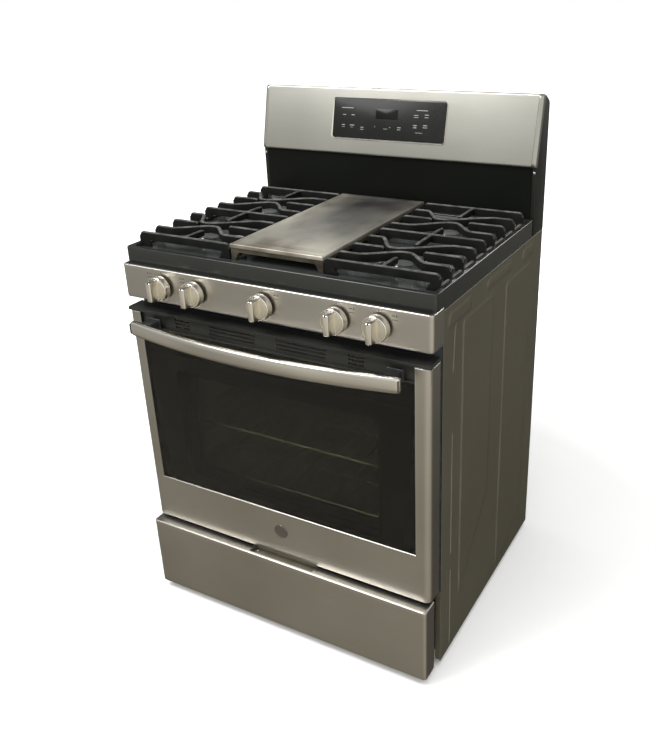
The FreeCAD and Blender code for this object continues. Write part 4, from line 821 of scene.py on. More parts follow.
FINISHES = {finish.name: finish for finish in (
    Finish("steel", (0.49, 0.47, 0.43), (0.57, 0.55, 0.51), (0.27, 0.36), metallic=1.0, cloud=3.0,
           grain=Grain.ALONG_X, grain_depth=0.000012, grain_strength=0.22),
    Finish("steel_bright", (0.66, 0.64, 0.59), (0.74, 0.72, 0.67), (0.14, 0.24), metallic=1.0, cloud=6.0,
           grain=Grain.ALONG_X, grain_depth=0.00001, grain_strength=0.12),
    Finish("console", (0.375, 0.37, 0.335), (0.42, 0.415, 0.38), (0.3, 0.37), metallic=1.0, cloud=3.0,
           grain=Grain.ALONG_X, grain_depth=0.000012, grain_strength=0.2),
    # side_paint: painted highlight on the forward-facing slopes of the pressed relief, painted shade on the
    # others.
    Pressed("side_paint", (0.050, 0.045, 0.029), (0.060, 0.054, 0.037), (0.34, 0.48), cloud=4.0,
            grain=Grain.SATIN, grain_depth=0.00003, grain_strength=0.2, ripple=0.00004),
    Finish("enamel", (0.0105, 0.0115, 0.0105), (0.014, 0.015, 0.0135), (0.12, 0.22), cloud=7.0,
           grain=Grain.ENAMEL, grain_depth=0.000004, grain_strength=0.1, ripple=0.00004),
    Finish("basin_enamel", (0.022, 0.0245, 0.0235), (0.03, 0.033, 0.0315), (0.1, 0.2), cloud=12.0,
           grain=Grain.ENAMEL, grain_depth=0.000004, grain_strength=0.1, ripple=0.00006, specular=0.9),
    Finish("cap_enamel", (0.035, 0.038, 0.037), (0.05, 0.054, 0.052), (0.22, 0.36), cloud=30.0),
    Finish("satin_black", (0.006, 0.0065, 0.0055), (0.009, 0.0095, 0.008), (0.3, 0.45), cloud=6.0,
           grain=Grain.SATIN, grain_strength=0.2, specular=0.25),
    Finish("trim", (0.012, 0.0125, 0.011), (0.018, 0.0185, 0.0165), (0.25, 0.4), cloud=6.0,
           grain=Grain.SATIN, grain_strength=0.2),
    Finish("riser", (0.0035, 0.004, 0.003), (0.005, 0.0055, 0.0045), (0.25, 0.4), cloud=4.0,
           grain=Grain.SATIN, grain_depth=0.00001, grain_strength=0.1, specular=0.08),
    Speckled("oven_enamel", (0.028, 0.030, 0.036), (0.04, 0.042, 0.05), (0.16, 0.3), cloud=8.0,
             grain=Grain.FIRED),
    # cast_iron and rail_iron: paler upward faces, a painted highlight from above.
    TopHighlighted("cast_iron", (0.004, 0.0042, 0.004), (0.009, 0.009, 0.0085), (0.5, 0.7), cloud=30.0,
         grain=Grain.CAST, grain_depth=0.00012, grain_strength=0.5, specular=0.09),
    TopHighlighted("rail_iron", (0.010, 0.0095, 0.0085), (0.024, 0.021, 0.018), (0.5, 0.7), cloud=40.0,
         grain=Grain.CAST, grain_depth=0.00015, grain_strength=0.5, specular=0.4,
         painted_highlight=(0.09, 0.078, 0.066)),
    Seasoned("griddle", (0.29, 0.275, 0.23), (0.38, 0.365, 0.31), (0.3, 0.46), metallic=0.6,
             grain=Grain.ALONG_Y, grain_depth=0.00003, grain_strength=0.3),
    Finish("griddle_edge", (0.028, 0.023, 0.016), (0.12, 0.105, 0.075), (0.35, 0.55), metallic=0.6,
           cloud=30.0, grain=Grain.CAST, grain_depth=0.00008, grain_strength=0.4),
    Finish("zinc", (0.42, 0.43, 0.44), (0.56, 0.57, 0.58), (0.3, 0.5), metallic=0.9, cloud=24.0,
           grain=Grain.SPANGLE, grain_depth=0.00001, grain_strength=0.1),
    Finish("chrome", (0.62, 0.62, 0.62), (0.72, 0.72, 0.72), (0.08, 0.18), metallic=1.0, cloud=30.0),
    Finish("brass", (0.62, 0.44, 0.18), (0.72, 0.54, 0.25), (0.25, 0.38), metallic=1.0, cloud=40.0),
    Finish("aluminium", (0.42, 0.41, 0.39), (0.56, 0.55, 0.53), (0.38, 0.55), metallic=1.0, cloud=40.0,
           grain=Grain.CAST, grain_depth=0.00006, grain_strength=0.4),
    Finish("knob", (0.72, 0.68, 0.60), (0.80, 0.76, 0.68), (0.24, 0.34), metallic=1.0, cloud=18.0,
           grain=Grain.ALONG_Z, grain_depth=0.000008),
    Finish("knob_rim", (0.74, 0.715, 0.66), (0.8, 0.78, 0.73), (0.12, 0.2), metallic=1.0, cloud=30.0),
    Finish("plastic", (0.010, 0.0105, 0.0105), (0.016, 0.0165, 0.0165), (0.34, 0.48), cloud=20.0,
           grain=Grain.MOULDED, grain_depth=0.00004, grain_strength=0.3),
    Finish("black_glass", (0.0025, 0.0028, 0.0022), (0.0035, 0.0038, 0.003), (0.1, 0.2), cloud=4.0,
           grain=Grain.GLASS, grain_depth=0.000002, grain_strength=0.02, specular=0.1),
    Finish("screen", (0.005, 0.005, 0.0052), (0.006, 0.006, 0.0062), (0.12, 0.2), cloud=12.0, specular=0.15),
    Finish("display", (0.008, 0.0085, 0.0078), (0.011, 0.0115, 0.0105), (0.2, 0.3), cloud=8.0, specular=0.14),
    Finish("mark", (0.16, 0.165, 0.16), (0.24, 0.245, 0.24), (0.5, 0.6), cloud=60.0),
    Finish("mark_dark", (0.045, 0.042, 0.038), (0.07, 0.065, 0.06), (0.4, 0.5), cloud=60.0),
    Finish("wool", (0.50, 0.46, 0.36), (0.66, 0.62, 0.52), (0.85, 0.98), cloud=60.0,
           grain=Grain.FIBRE, grain_depth=0.0004, grain_strength=0.9),
    Finish("ceramic", (0.72, 0.70, 0.65), (0.8, 0.78, 0.74), (0.2, 0.35), cloud=60.0),
    Finish("board", (0.02, 0.07, 0.035), (0.03, 0.1, 0.05), (0.35, 0.5), cloud=90.0),
    Finish("olive", (0.17, 0.155, 0.115), (0.24, 0.22, 0.165), (0.35, 0.5), metallic=0.5, cloud=30.0),
    Finish("badge", (0.16, 0.145, 0.125), (0.2, 0.185, 0.16), (0.3, 0.42), metallic=0.9, cloud=40.0),
    Pane("clear_glass", (0.72, 0.74, 0.66), ior=1.3),
    Pane("dark_glass", (0.28, 0.262, 0.215), transmission=0.988, ior=1.2),
    Pane("lamp_glass", (0.9, 0.88, 0.8), roughness=0.08),
)}
PAINT = Paint()


def dress(piece: bpy.types.Object, finish: str, slot: str, body: str = "root",
          *replaced: str) -> bpy.types.Object:
    """Gives a piece its finish and its body, and hides the CAD nodes that it stands for.

    Args:
        piece: the piece.
        finish: the name of its finish.
        slot: not used.
        body: the body that it rides on.
        replaced: the CAD nodes that it stands for.

    Returns:
        The piece.
    """
    piece.data.materials.clear()
    piece.data.materials.append(PAINT[finish])
    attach(piece, body)
    if replaced:
        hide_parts(*replaced)
    LOG.info("%s: %s on %s", piece.name, finish, body)
    return piece


# ---------------------------------------------------------------- cabinet
@dataclass
class SidePanels:
    """Both side panels, with fields and ribs pressed outwards."""

    depth: float = 1.4 * MM
    wall: float = 1.2 * MM
    slope: float = 4.0 * MM
    rounding: float = 11 * MM
    rib: float = 2.2 * MM

    def fields(self) -> list[Array]:
        """The raised fields: two large ones and three above them.

        Returns:
            Corners (y from the front edge, z) of each.
        """
        front = [(97, 128), (266, 326), (266, 817), (97, 817)]
        rear = [(345, 40), (430, 61), (500, 119), (523, 170), (523, 814), (345, 814)]
        boxes = [[(24, 826), (137, 826), (137, 856), (24, 856)],
                 [(225, 835), (378, 835), (378, 857), (225, 857)],
                 [(452, 832), (532, 832), (532, 857), (452, 857)]]
        return [np.array(corners) * MM for corners in (front, rear, *boxes)]

    def ribs(self) -> list[Array]:
        """The narrow ribs.

        Returns:
            Points (y from the front edge, z) of each rib's line.
        """
        lines = [[(50, 726), (56, 806), (72, 838), (100, 842)], [(50, 284), (50, 583)],
                 [(50, 29), (50, 237)], [(560, 150), (560, 420)]]
        return [np.array(line) * MM for line in lines]

    def raised(self, y: Array, z: Array) -> Array:
        """How far the steel is pressed out, from 0 to 1.

        A field's distance is the soft maximum of the distances to its sides, and
        a rib's is the distance to its nearest line less half its width; the
        smallest distance is turned into a step that is slope wide.

        Args:
            y: distance from the front edge.
            z: height.

        Returns:
            The share of the full depth.
        """
        nearest = np.full(np.broadcast(y, z).shape, 1.0)
        for corners in self.fields():
            along = np.roll(corners, -1, axis=0) - corners
            normal = np.stack([along[:, 1], -along[:, 0]], axis=1)
            normal /= np.linalg.norm(normal, axis=1, keepdims=True)
            reach = np.stack(np.broadcast_arrays(y, z), axis=-1) @ normal.T - (corners * normal).sum(axis=1)
            scale = self.rounding / 3
            soft = np.log(np.exp(np.clip(reach / scale, -60, 60)).sum(axis=-1)) * scale
            nearest = np.minimum(nearest, soft)
        for line in self.ribs():
            for (y0, z0), (y1, z1) in zip(line[:-1], line[1:]):
                span = np.array([y1 - y0, z1 - z0])
                share = np.clip(((y - y0) * span[0] + (z - z0) * span[1]) / (span @ span), 0, 1)
                away = 2 * (np.hypot(y - y0 - share * span[0], z - z0 - share * span[1]) - self.rib)
                nearest = np.minimum(nearest, away)
        return 1.0 - smooth(nearest, -self.slope, self.slope * 0.4)

    def build(self) -> None:
        """Builds both panels with their turned-in edges.

        The slope attribute that the finish reads is 0.5 plus a share of the relief's slope, so that
        edges facing forwards are above a half and the others below; the finish paints highlight above a half
        and shade below.
        """
        for side, node in zip(SIDES, ("side_panel_left", "side_panel_right")):
            place = Extent.of(node)
            face = place.x1 if side > 0 else place.x0
            deep, tall = place.y1 - place.y0, place.z1 - place.z0
            edge = np.array([0.0, 0.4, 1.0]) * MM
            y = np.r_[edge, np.linspace(3 * MM, 40 * MM, 12), np.linspace(42 * MM, 58 * MM, 16),
                      np.linspace(61 * MM, deep - 3 * MM, 168), deep - edge[::-1]]
            z = np.r_[edge, np.linspace(3 * MM, tall - 3 * MM, 208), tall - edge[::-1]]
            across, up = np.meshgrid(y, z)
            border = np.minimum(np.minimum(across, deep - across), np.minimum(up, tall - up))
            roll = np.clip(1.0 - border / MM, 0.0, 1.0) ** 2 * 0.8 * MM
            raised = self.raised(across, up + place.z0)
            inset = self.depth * (1.0 - raised) + roll
            front = np.stack([face - side * inset, place.y0 + across, place.z0 + up], axis=-1)
            back = front.copy()
            back[..., 0] = face - side * (self.depth + self.wall + 1.2 * MM)
            skin = Skin().sheet(front, back)
            flange = sorted((face - side * 15 * MM, face - side * 2.2 * MM))
            long_y = (place.y0 + 2 * MM, place.y1 - 2 * MM)
            long_z = (place.z0 + 2 * MM, place.z1 - 2 * MM)
            for edges in (((place.y1 - 1.5 * MM, place.y1 - 0.1 * MM), long_z),
                          ((place.y0 + 0.5 * MM, place.y0 + 1.7 * MM), long_z),
                          (long_y, (place.z0 + 0.2 * MM, place.z0 + 1.6 * MM))):
                skin.block(flange, *edges, 0.4 * MM)
            piece = skin.build(node + "_pressed", 50)
            # Painted light: the slope value below becomes painted highlight on forward-facing edges and
            # painted shade on the rest.
            slant = np.gradient(raised, y, axis=1) * 0.7 - np.gradient(raised, z, axis=0) * 0.3
            lit_side = np.full(len(piece.data.vertices), 0.5)
            lit_side[:slant.size] = np.clip(0.5 + slant.ravel() * self.slope * 0.7, 0.0, 1.0)
            piece.data.attributes.new("lit_side", "FLOAT", "POINT").data.foreach_set("value", lit_side)
            dress(piece, "side_paint", "side_paint", "root", node)


# ---------------------------------------------------------------- cooktop
@dataclass
class Cooktop:
    """The pressed cooktop: apron and rim carried round a rectangle, and a pressed floor."""

    rim: float = 12 * MM
    basin: float = 9 * MM
    boss_outer: float = 74 * MM
    boss_inner: float = 45 * MM
    boss_height: float = 8.5 * MM
    step: float = 3.6 * MM
    burner_x: float = 244 * MM
    rows: tuple[float, float] = (115 * MM, 350 * MM)

    def edge(self, place: Extent) -> None:
        """Carries the apron and rim's section round the cooktop.

        Each section point is an inset from the outer edge and a height; its ring
        is the outer rectangle drawn in by the inset, with rounder corners
        further in.

        Args:
            place: the cooktop's box.
        """
        top, low, basin = place.z1, place.z0, place.z1 - self.basin
        section = rounded(np.array([
            (0.0, low), (0.0, top), (self.rim, top), (self.rim + 2 * MM, basin), (19 * MM, basin),
            (19 * MM, basin - 1.2 * MM), (self.rim, basin - 1.2 * MM), (self.rim - 1.4 * MM, top - 2 * MM),
            (1.4 * MM, top - 2 * MM), (1.4 * MM, low)]),
            np.array([0.4, 2.8, 2.4, 3.2, 0.3, 0.3, 0.8, 0.8, 0.4, 0.4]) * MM, 4)
        inset = section[:, 0]
        radius = np.interp(inset, [0.0, self.rim, 19 * MM], [9 * MM, 15 * MM, 11 * MM])
        half_x, half_y = (place.x1 - place.x0) / 2, (place.y1 - place.y0) / 2
        rings = rectangle_rings(half_x - inset, half_y - inset, radius, 8)
        points = lifted(rings + place.middle[:2], section[:, 1:])
        skin = Skin().add(points, grid_faces(len(section), rings.shape[1], True, True))
        dress(skin.build("cooktop_rim", 50), "enamel", "black_enamel", "root", "cooktop")

    def relief(self, x: Array, y: Array, front: float) -> Array:
        """Height of the pressed floor above the basin.

        Round each burner it rises smoothly from the outer radius to the inner
        one, and under the griddle a long plateau rises over 22 mm.

        Args:
            x: place across.
            y: place back.
            front: y of the cabinet's front.

        Returns:
            The height at each place.
        """
        height = np.zeros(x.shape)
        for sx in SIDES:
            for row in self.rows:
                away = np.hypot(x - sx * self.burner_x, y - front - row)
                flat = 1 + 0.05 * np.cos(6 * np.arctan2(y - front - row, x - sx * self.burner_x))
                height = np.maximum(height, 1 - smooth(away / flat, self.boss_inner, self.boss_outer))
        away = np.maximum(np.abs(x) - 48 * MM, np.abs(y - front - sum(self.rows) / 2) - 118 * MM)
        plateau = 1 - smooth(away, 0.0, 22 * MM)
        return self.boss_height * np.maximum(height, plateau)

    def floor(self, place: Extent, front: float) -> None:
        """The floor of the basin, a grid of heights over a flat underside.

        Args:
            place: the cooktop's box.
            front: y of the cabinet's front.
        """
        inset = self.rim + 3.4 * MM
        xs = np.linspace(place.x0 + inset, place.x1 - inset, int((place.x1 - place.x0) / self.step))
        ys = np.linspace(place.y0 + inset, place.y1 - inset, int((place.y1 - place.y0) / self.step))
        x, y = np.meshgrid(xs, ys)
        level = place.z1 - self.basin - 0.05 * MM
        top = np.stack([x, y, level + self.relief(x, y, front)], axis=-1)
        under = np.stack([x, y, np.full(x.shape, level - 1.4 * MM)], axis=-1)
        piece = Skin().sheet(top, under).build("cooktop_basin", 60)
        dress(piece, "basin_enamel", "black_enamel")

    def build(self, front: float) -> None:
        """Builds the cooktop.

        Args:
            front: y of the cabinet's front.
        """
        low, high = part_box("cooktop")
        half = Extent.of("side_panel_right").x1 - 1.2 * MM
        place = Extent(-half, half, low.y + 0.7 * MM, high.y, low.z, high.z)
        self.edge(place)
        self.floor(place, front)


@dataclass
class Burners:
    """Five burners: fluted heads, enamelled caps and spark pins."""

    ports: int = 36

    def places(self) -> list[tuple[float, float]]:
        """The centres of the burners: four round the middle and the one under the griddle.

        Returns:
            Places across and back.
        """
        front, across = Extent.of("side_panel_right").y0, Cooktop.burner_x
        near, far = (front + row for row in Cooktop.rows)
        return [(side * across, y) for side in SIDES for y in (near, far)] + [(0.0, (near + far) / 2)]

    def build(self) -> None:
        """Builds all heads as one piece and all caps as another."""
        caps = Extent.of("burner_caps")
        deck = caps.z0 - 11.3 * MM
        head = np.array([(0, 0), (26, 0), (28, 6), (37.6, 7), (38, 8.4), (35.5, 9), (35, 9.2), (35, 10.9),
                         (35.6, 11.0), (35.6, 11.2), (0, 11.2)]) * MM
        flute = np.array([0, 0, 0, 0, 0, 0, 2.2, 2.2, 0, 0, 0]) * MM
        cap = np.array([(0, 0), (36.4, 0), (37.6, 0.5), (37.8, 1.6), (37.2, 3.0), (35.5, 4.2), (32, 5.4),
                        (29, 6.2), (27.5, 6.2), (26.5, 5.7), (12, 6.6), (0, 6.9)]) * MM
        heads, tops = Skin(), Skin()
        for x, y in self.places():
            heads.lathed(head, (x, y, deck), "z", self.ports * 4, flute, self.ports)
            tops.lathed(cap, (x, y, caps.z0), "z", 72)
        dress(heads.build("burner_heads_ported"), "aluminium", "aluminium", "root", "burner_heads")
        dress(tops.build("burner_caps_domed", 28), "cap_enamel", "cast_iron", "root", "burner_caps")


# ---------------------------------------------------------------- grates and griddle
@dataclass
class Blade:
    """An upright cast blade whose line wanders in plan."""

    x: Array
    y: Array
    top: Array
    bottom: Array
    thick: float = 8.4 * MM
    chamfer: float = 2.2 * MM

    def add_to(self, skin: Skin) -> None:
        """Carries the blade's section along its line.

        A section point is the line's point + its level normal * u, at bottom +
        share * (top - bottom) - the chamfer's part.

        Args:
            skin: the grate that it is added to.
        """
        line = np.stack([self.x, self.y], axis=1)
        along = np.gradient(line, axis=0)
        along /= np.linalg.norm(along, axis=1, keepdims=True)
        normal = np.stack([-along[:, 1], along[:, 0]], axis=1)
        half, low = self.thick / 2, self.thick * 0.36
        across = np.array([-low, low, half, half, half - self.chamfer, half * 0.3, -half * 0.3,
                           -half + self.chamfer, -half, -half])
        share = np.array([0, 0, 0.5, 1, 1, 1, 1, 1, 1, 0.5])
        drop = np.array([0, 0, 0, 0.9, 0.2, 0, 0, 0.2, 0.9, 0]) * self.chamfer
        level = self.bottom[:, None] + (self.top - self.bottom)[:, None] * share - drop
        flat = line[:, None] + normal[:, None] * across[None, :, None]
        skin.tube(np.concatenate([flat, level[..., None]], axis=-1))


@dataclass
class Grate:
    """One side grate: bowed blades between two low rails, with fingers round both burners.

    A wave is its place in millimetres from the front, its bow's height, and the
    shares of the width where it rises and falls.  A finger is its place and the
    shares that it spans, and a lengthwise blade is where it starts and ends.
    """

    node: str
    body: str
    bar: float = 19 * MM
    leg: float = 15 * MM
    waves: tuple = ((60, 46, 0.20, 0.50, 0.57, 0.78), (183, -59, 0.16, 0.34, 0.42, 0.82),
                    (290, 51, 0.20, 0.50, 0.57, 0.78), (415, -56, 0.16, 0.34, 0.42, 0.82),
                    (240, 0, 0.2, 0.4, 0.6, 0.8))
    straight: tuple = (0, 0.2, 0.4, 0.6, 0.8)
    fingers: tuple = ((120, 0.0, 0.30), (120, 0.66, 1.0), (355, 0.0, 0.30), (355, 0.66, 1.0))
    lengthwise: tuple = ((9, 74), (163, 297), (394, 478))

    def cross(self, skin: Skin, place: Extent, start: float, bow: tuple, ends: tuple[bool, bool],
              reach: tuple[float, float] = (0.0, 1.0)) -> None:
        """A blade from side to side: y = start + bow * rise * (1 - fall), with a leg at each closed end.

        Args:
            skin: the grate.
            place: the grate's box.
            start: y of its two ends, from the grate's front, in millimetres.
            bow: height in millimetres and the shares of the width where it rises and falls.
            ends: whether the left and the right end turn down into a leg.
            reach: the shares of the width that it spans.
        """
        wide = place.x1 - place.x0
        low, high = (place.x0 + wide * share for share in reach)
        inset = np.array([0.0, 0.6, 2.0, 5.0, 9.0]) * MM
        legs = np.array([self.leg - 1 * MM, self.leg, self.leg + 3 * MM, self.leg + 7 * MM])
        x = np.r_[low + inset, low + legs, np.linspace(low + 26 * MM, high - 26 * MM, 46), high - legs[::-1],
                  high - inset[::-1]]
        share = (x - place.x0) / wide
        height, a, b, c, d = bow
        y = place.y0 + (start - 5) * MM + height * MM * ramped(share, a, b) * (1 - ramped(share, c, d))
        crown = place.z1 * np.ones(len(x))
        bottom = crown - self.bar
        for closed, away in zip(ends, (x - low, high - x)):
            if closed:
                crown -= 9 * MM * (1 - smooth(away, 0.0, 9 * MM)) ** 2
                foot = smooth(away, self.leg - 2 * MM, self.leg + 7.5 * MM)
                bottom = np.minimum(bottom, place.z0 + (place.z1 - self.bar - place.z0) * foot)
            else:
                crown -= 2.5 * MM * (1 - smooth(away, 0.0, 3 * MM))
                bottom += 3 * MM * (1 - smooth(away, 0.0, 12 * MM))
        Blade(x, y, crown, bottom).add_to(skin)

    def build(self) -> None:
        """Builds the blades and the rails; a rail's top rises and falls by a product of sines."""
        place = Extent.of(self.node)
        skin = Skin()
        for start, height, *shares in self.waves:
            self.cross(skin, place, start, (height, *shares), (True, True))
        for start, low, high in self.fingers:
            self.cross(skin, place, start, self.straight, (low == 0.0, high == 1.0), (low, high))
        deep = place.y1 - place.y0
        for start in (9.5, deep / MM + 0.5):
            self.cross(skin, place, start, self.straight, (True, True))
        middle = place.x0 + (place.x1 - place.x0) * 0.505
        for near, far in self.lengthwise:
            y = place.y0 + (np.linspace(near, far, 9) - 5) * MM
            crown = np.full(9, place.z1 - 0.3 * MM)
            ends = np.array([2.0, 0.3, 0, 0, 0, 0, 0, 0.3, 2.0]) * MM
            Blade(np.full(9, middle), y, crown - ends, crown - self.bar * 0.8, 7.6 * MM).add_to(skin)
        for low, lean in ((place.x0 + 1 * MM, (0, 12)), (place.x1 - 30 * MM, (12, 0))):
            crown = place.z1 - 16 * MM
            corners = [(low, place.z0), (low + 29 * MM, place.z0), (low + (29 - lean[1]) * MM, crown),
                       (low + lean[0] * MM, crown)]
            skin.prism(rounded(corners, 1.5 * MM, 2), "y", place.y0 + 1 * MM, place.y0 + 7.5 * MM, 0.8 * MM)
        dress(skin.build(self.node + "_cast", 40), "cast_iron", "cast_iron", self.body, self.node)
        rails = Skin()
        for low in (place.x0 + 0.3 * MM, place.x1 - 9.3 * MM):
            count = 40
            y = np.linspace(place.y0 + 3 * MM, place.y1 - 3 * MM, count)
            lump = 0.8 * MM * np.sin(np.arange(count) * 2.4) * np.sin(np.arange(count) * 0.9)
            x = np.full(count, low + 4.5 * MM)
            Blade(x, y, place.z0 + 8.5 * MM + lump, np.full(count, place.z0), 9 * MM).add_to(rails)
        dress(rails.build(self.node + "_rails", 40), "rail_iron", "cast_iron", self.body)


@dataclass
class Griddle:
    """The centre griddle: a plate with a low edge and grooves, on a lintel frame with legs."""

    plate: float = 8 * MM

    def surface(self, place: Extent) -> Skin:
        """The plate, whose top dips 1.6 mm inside its edge.

        Two grooves near the front and one behind are bell curves, depth * exp(-d^2).

        Args:
            place: the griddle's box.

        Returns:
            The plate.
        """
        xs = np.r_[0, 0.5, 1.4, np.linspace(3, 8, 5), np.linspace(12, 218, 60), np.linspace(222, 227, 5),
                   228.6, 229.5, 230] * MM + place.x0
        deep = (place.y1 - place.y0) / MM
        ys = np.r_[0, 0.5, 1.4, np.linspace(4, 44, 27), np.linspace(50, deep - 34, 60),
                   np.linspace(deep - 30, deep - 3, 16), deep - 1.4, deep - 0.5, deep] * MM + place.y0
        x, y = np.meshgrid(xs, ys)
        side = np.minimum(x - place.x0, place.x1 - x)
        near, far = y - place.y0, place.y1 - y
        border = np.minimum(side, np.minimum(near, far))
        round_off = 2.0 * MM * (1 - np.sqrt(1 - (1 - np.clip(border / (2.0 * MM), 0, 1)) ** 2))
        dip = 1.6 * MM * smooth(side, 3 * MM, 7 * MM)
        dip = dip * smooth(near, 16 * MM, 22 * MM) * smooth(far, 12 * MM, 18 * MM)
        grooves = ((near, 27, 1.5, 0.9), (near, 35, 1.5, 0.6), (far, 25, 1.8, 1.0))
        groove = sum(depth * MM * np.exp(-((away - at * MM) / (wide * MM)) ** 2)
                     for away, at, wide, depth in grooves)
        groove = groove * smooth(side, 6 * MM, 9 * MM)
        top = np.stack([x, y, place.z1 - round_off - dip - groove], axis=-1)
        under = np.stack([x, y, np.full(x.shape, place.z1 - self.plate)], axis=-1)
        return Skin().sheet(top, under)

    def build(self) -> None:
        """Builds the plate and its frame."""
        place, body = Extent.of("griddle"), "centre_griddle"
        dress(self.surface(place).build("griddle_plate", 45), "griddle", "cast_iron", body, "griddle")
        skin = Skin()
        low, high = place.z0, place.z1 - self.plate + 0.3 * MM
        beam = high - 10 * MM
        for y in (place.y0 + 2 * MM, place.y1 - 10 * MM):
            outline = [(place.x0 + 1 * MM, low), (place.x0 + 11 * MM, low), (place.x0 + 19 * MM, beam),
                       (place.x1 - 19 * MM, beam), (place.x1 - 11 * MM, low), (place.x1 - 1 * MM, low),
                       (place.x1 - 1 * MM, high), (place.x0 + 1 * MM, high)]
            radii = np.array([1, 2, 5, 5, 2, 1, 1, 1]) * MM
            skin.prism(rounded(outline, radii, 4), "y", y, y + 8 * MM, 0.8 * MM)
        for x in (place.x0 + 1.5 * MM, place.x1 - 8.5 * MM):
            skin.block((x, x + 7 * MM), (place.y0 + 8 * MM, place.y1 - 8 * MM), (beam + 1 * MM, high),
                       1.5 * MM)
        dress(skin.build("griddle_frame", 40), "griddle_edge", "cast_iron", body)


# ---------------------------------------------------------------- front
@dataclass
class ControlPanel:
    """The bright panel behind the knobs, with small printed marks."""

    radius: float = 10 * MM
    roll: float = 3.2 * MM
    wall: float = 1.2 * MM

    def mark_sizes(self, side: int) -> list[tuple[float, float, float, float]]:
        """Middle, width, rise and height in millimetres of a knob's marks, the first one over it."""
        return [(0, 2.2, 31.4, 3.4), (side * 38, 2.6, 26, 4.4), (side * 31, 7, 26, 2),
                (side * 34, 13, 18, 1.6)]

    def build(self, knobs: list[Extent]) -> None:
        """Builds the panel, bent back at both ends, and its marks beside each knob.

        Args:
            knobs: the knobs' boxes, from left to right.
        """
        place = Extent.of("control_panel")
        half = Extent.of("side_panel_right").x1 - 0.2 * MM
        face = place.y0 + 0.8 * MM
        columns = np.linspace(-half, half, 60)
        plan = wrapped_plan(half, face, place.y1 - 0.3 * MM, self.radius, columns)
        rows = rolled_rows(place.z0 + 0.1 * MM, place.z1 - 0.1 * MM, self.roll,
                           np.linspace(place.z0, place.z1, 9), 4 * MM)
        skin = wrapped_sheet(Skin(), plan, rows, self.wall)
        dress(skin.build("control_panel_bent", 40), "steel", "stainless", "root", "control_panel")
        # A satin black strip over the panel's top ledge: painted shade where the cooktop's apron shades it.
        lip = place.z1 - 1.6 * MM
        ledge = Skin().block((-half + 4 * MM, half - 4 * MM), (face + 3.6 * MM, place.y1 - 1 * MM),
                             (lip, lip + 1.4 * MM), 0.4 * MM)
        dress(ledge.build("control_panel_ledge_shade"), "satin_black", "black_plastic")
        marks = Skin()
        for number, knob in enumerate(knobs):
            x, _, z = knob.middle
            front = (face - 0.12 * MM, face + 0.3 * MM)
            for mid, wide, rise, tall in self.mark_sizes(-1 if number < 2 else 1):
                marks.block((x + (mid - wide / 2) * MM, x + (mid + wide / 2) * MM), front,
                            (z + (rise - tall / 2) * MM, z + (rise + tall / 2) * MM), 0.1 * MM)
        dress(marks.build("control_panel_marks"), "mark_dark", "black_plastic")


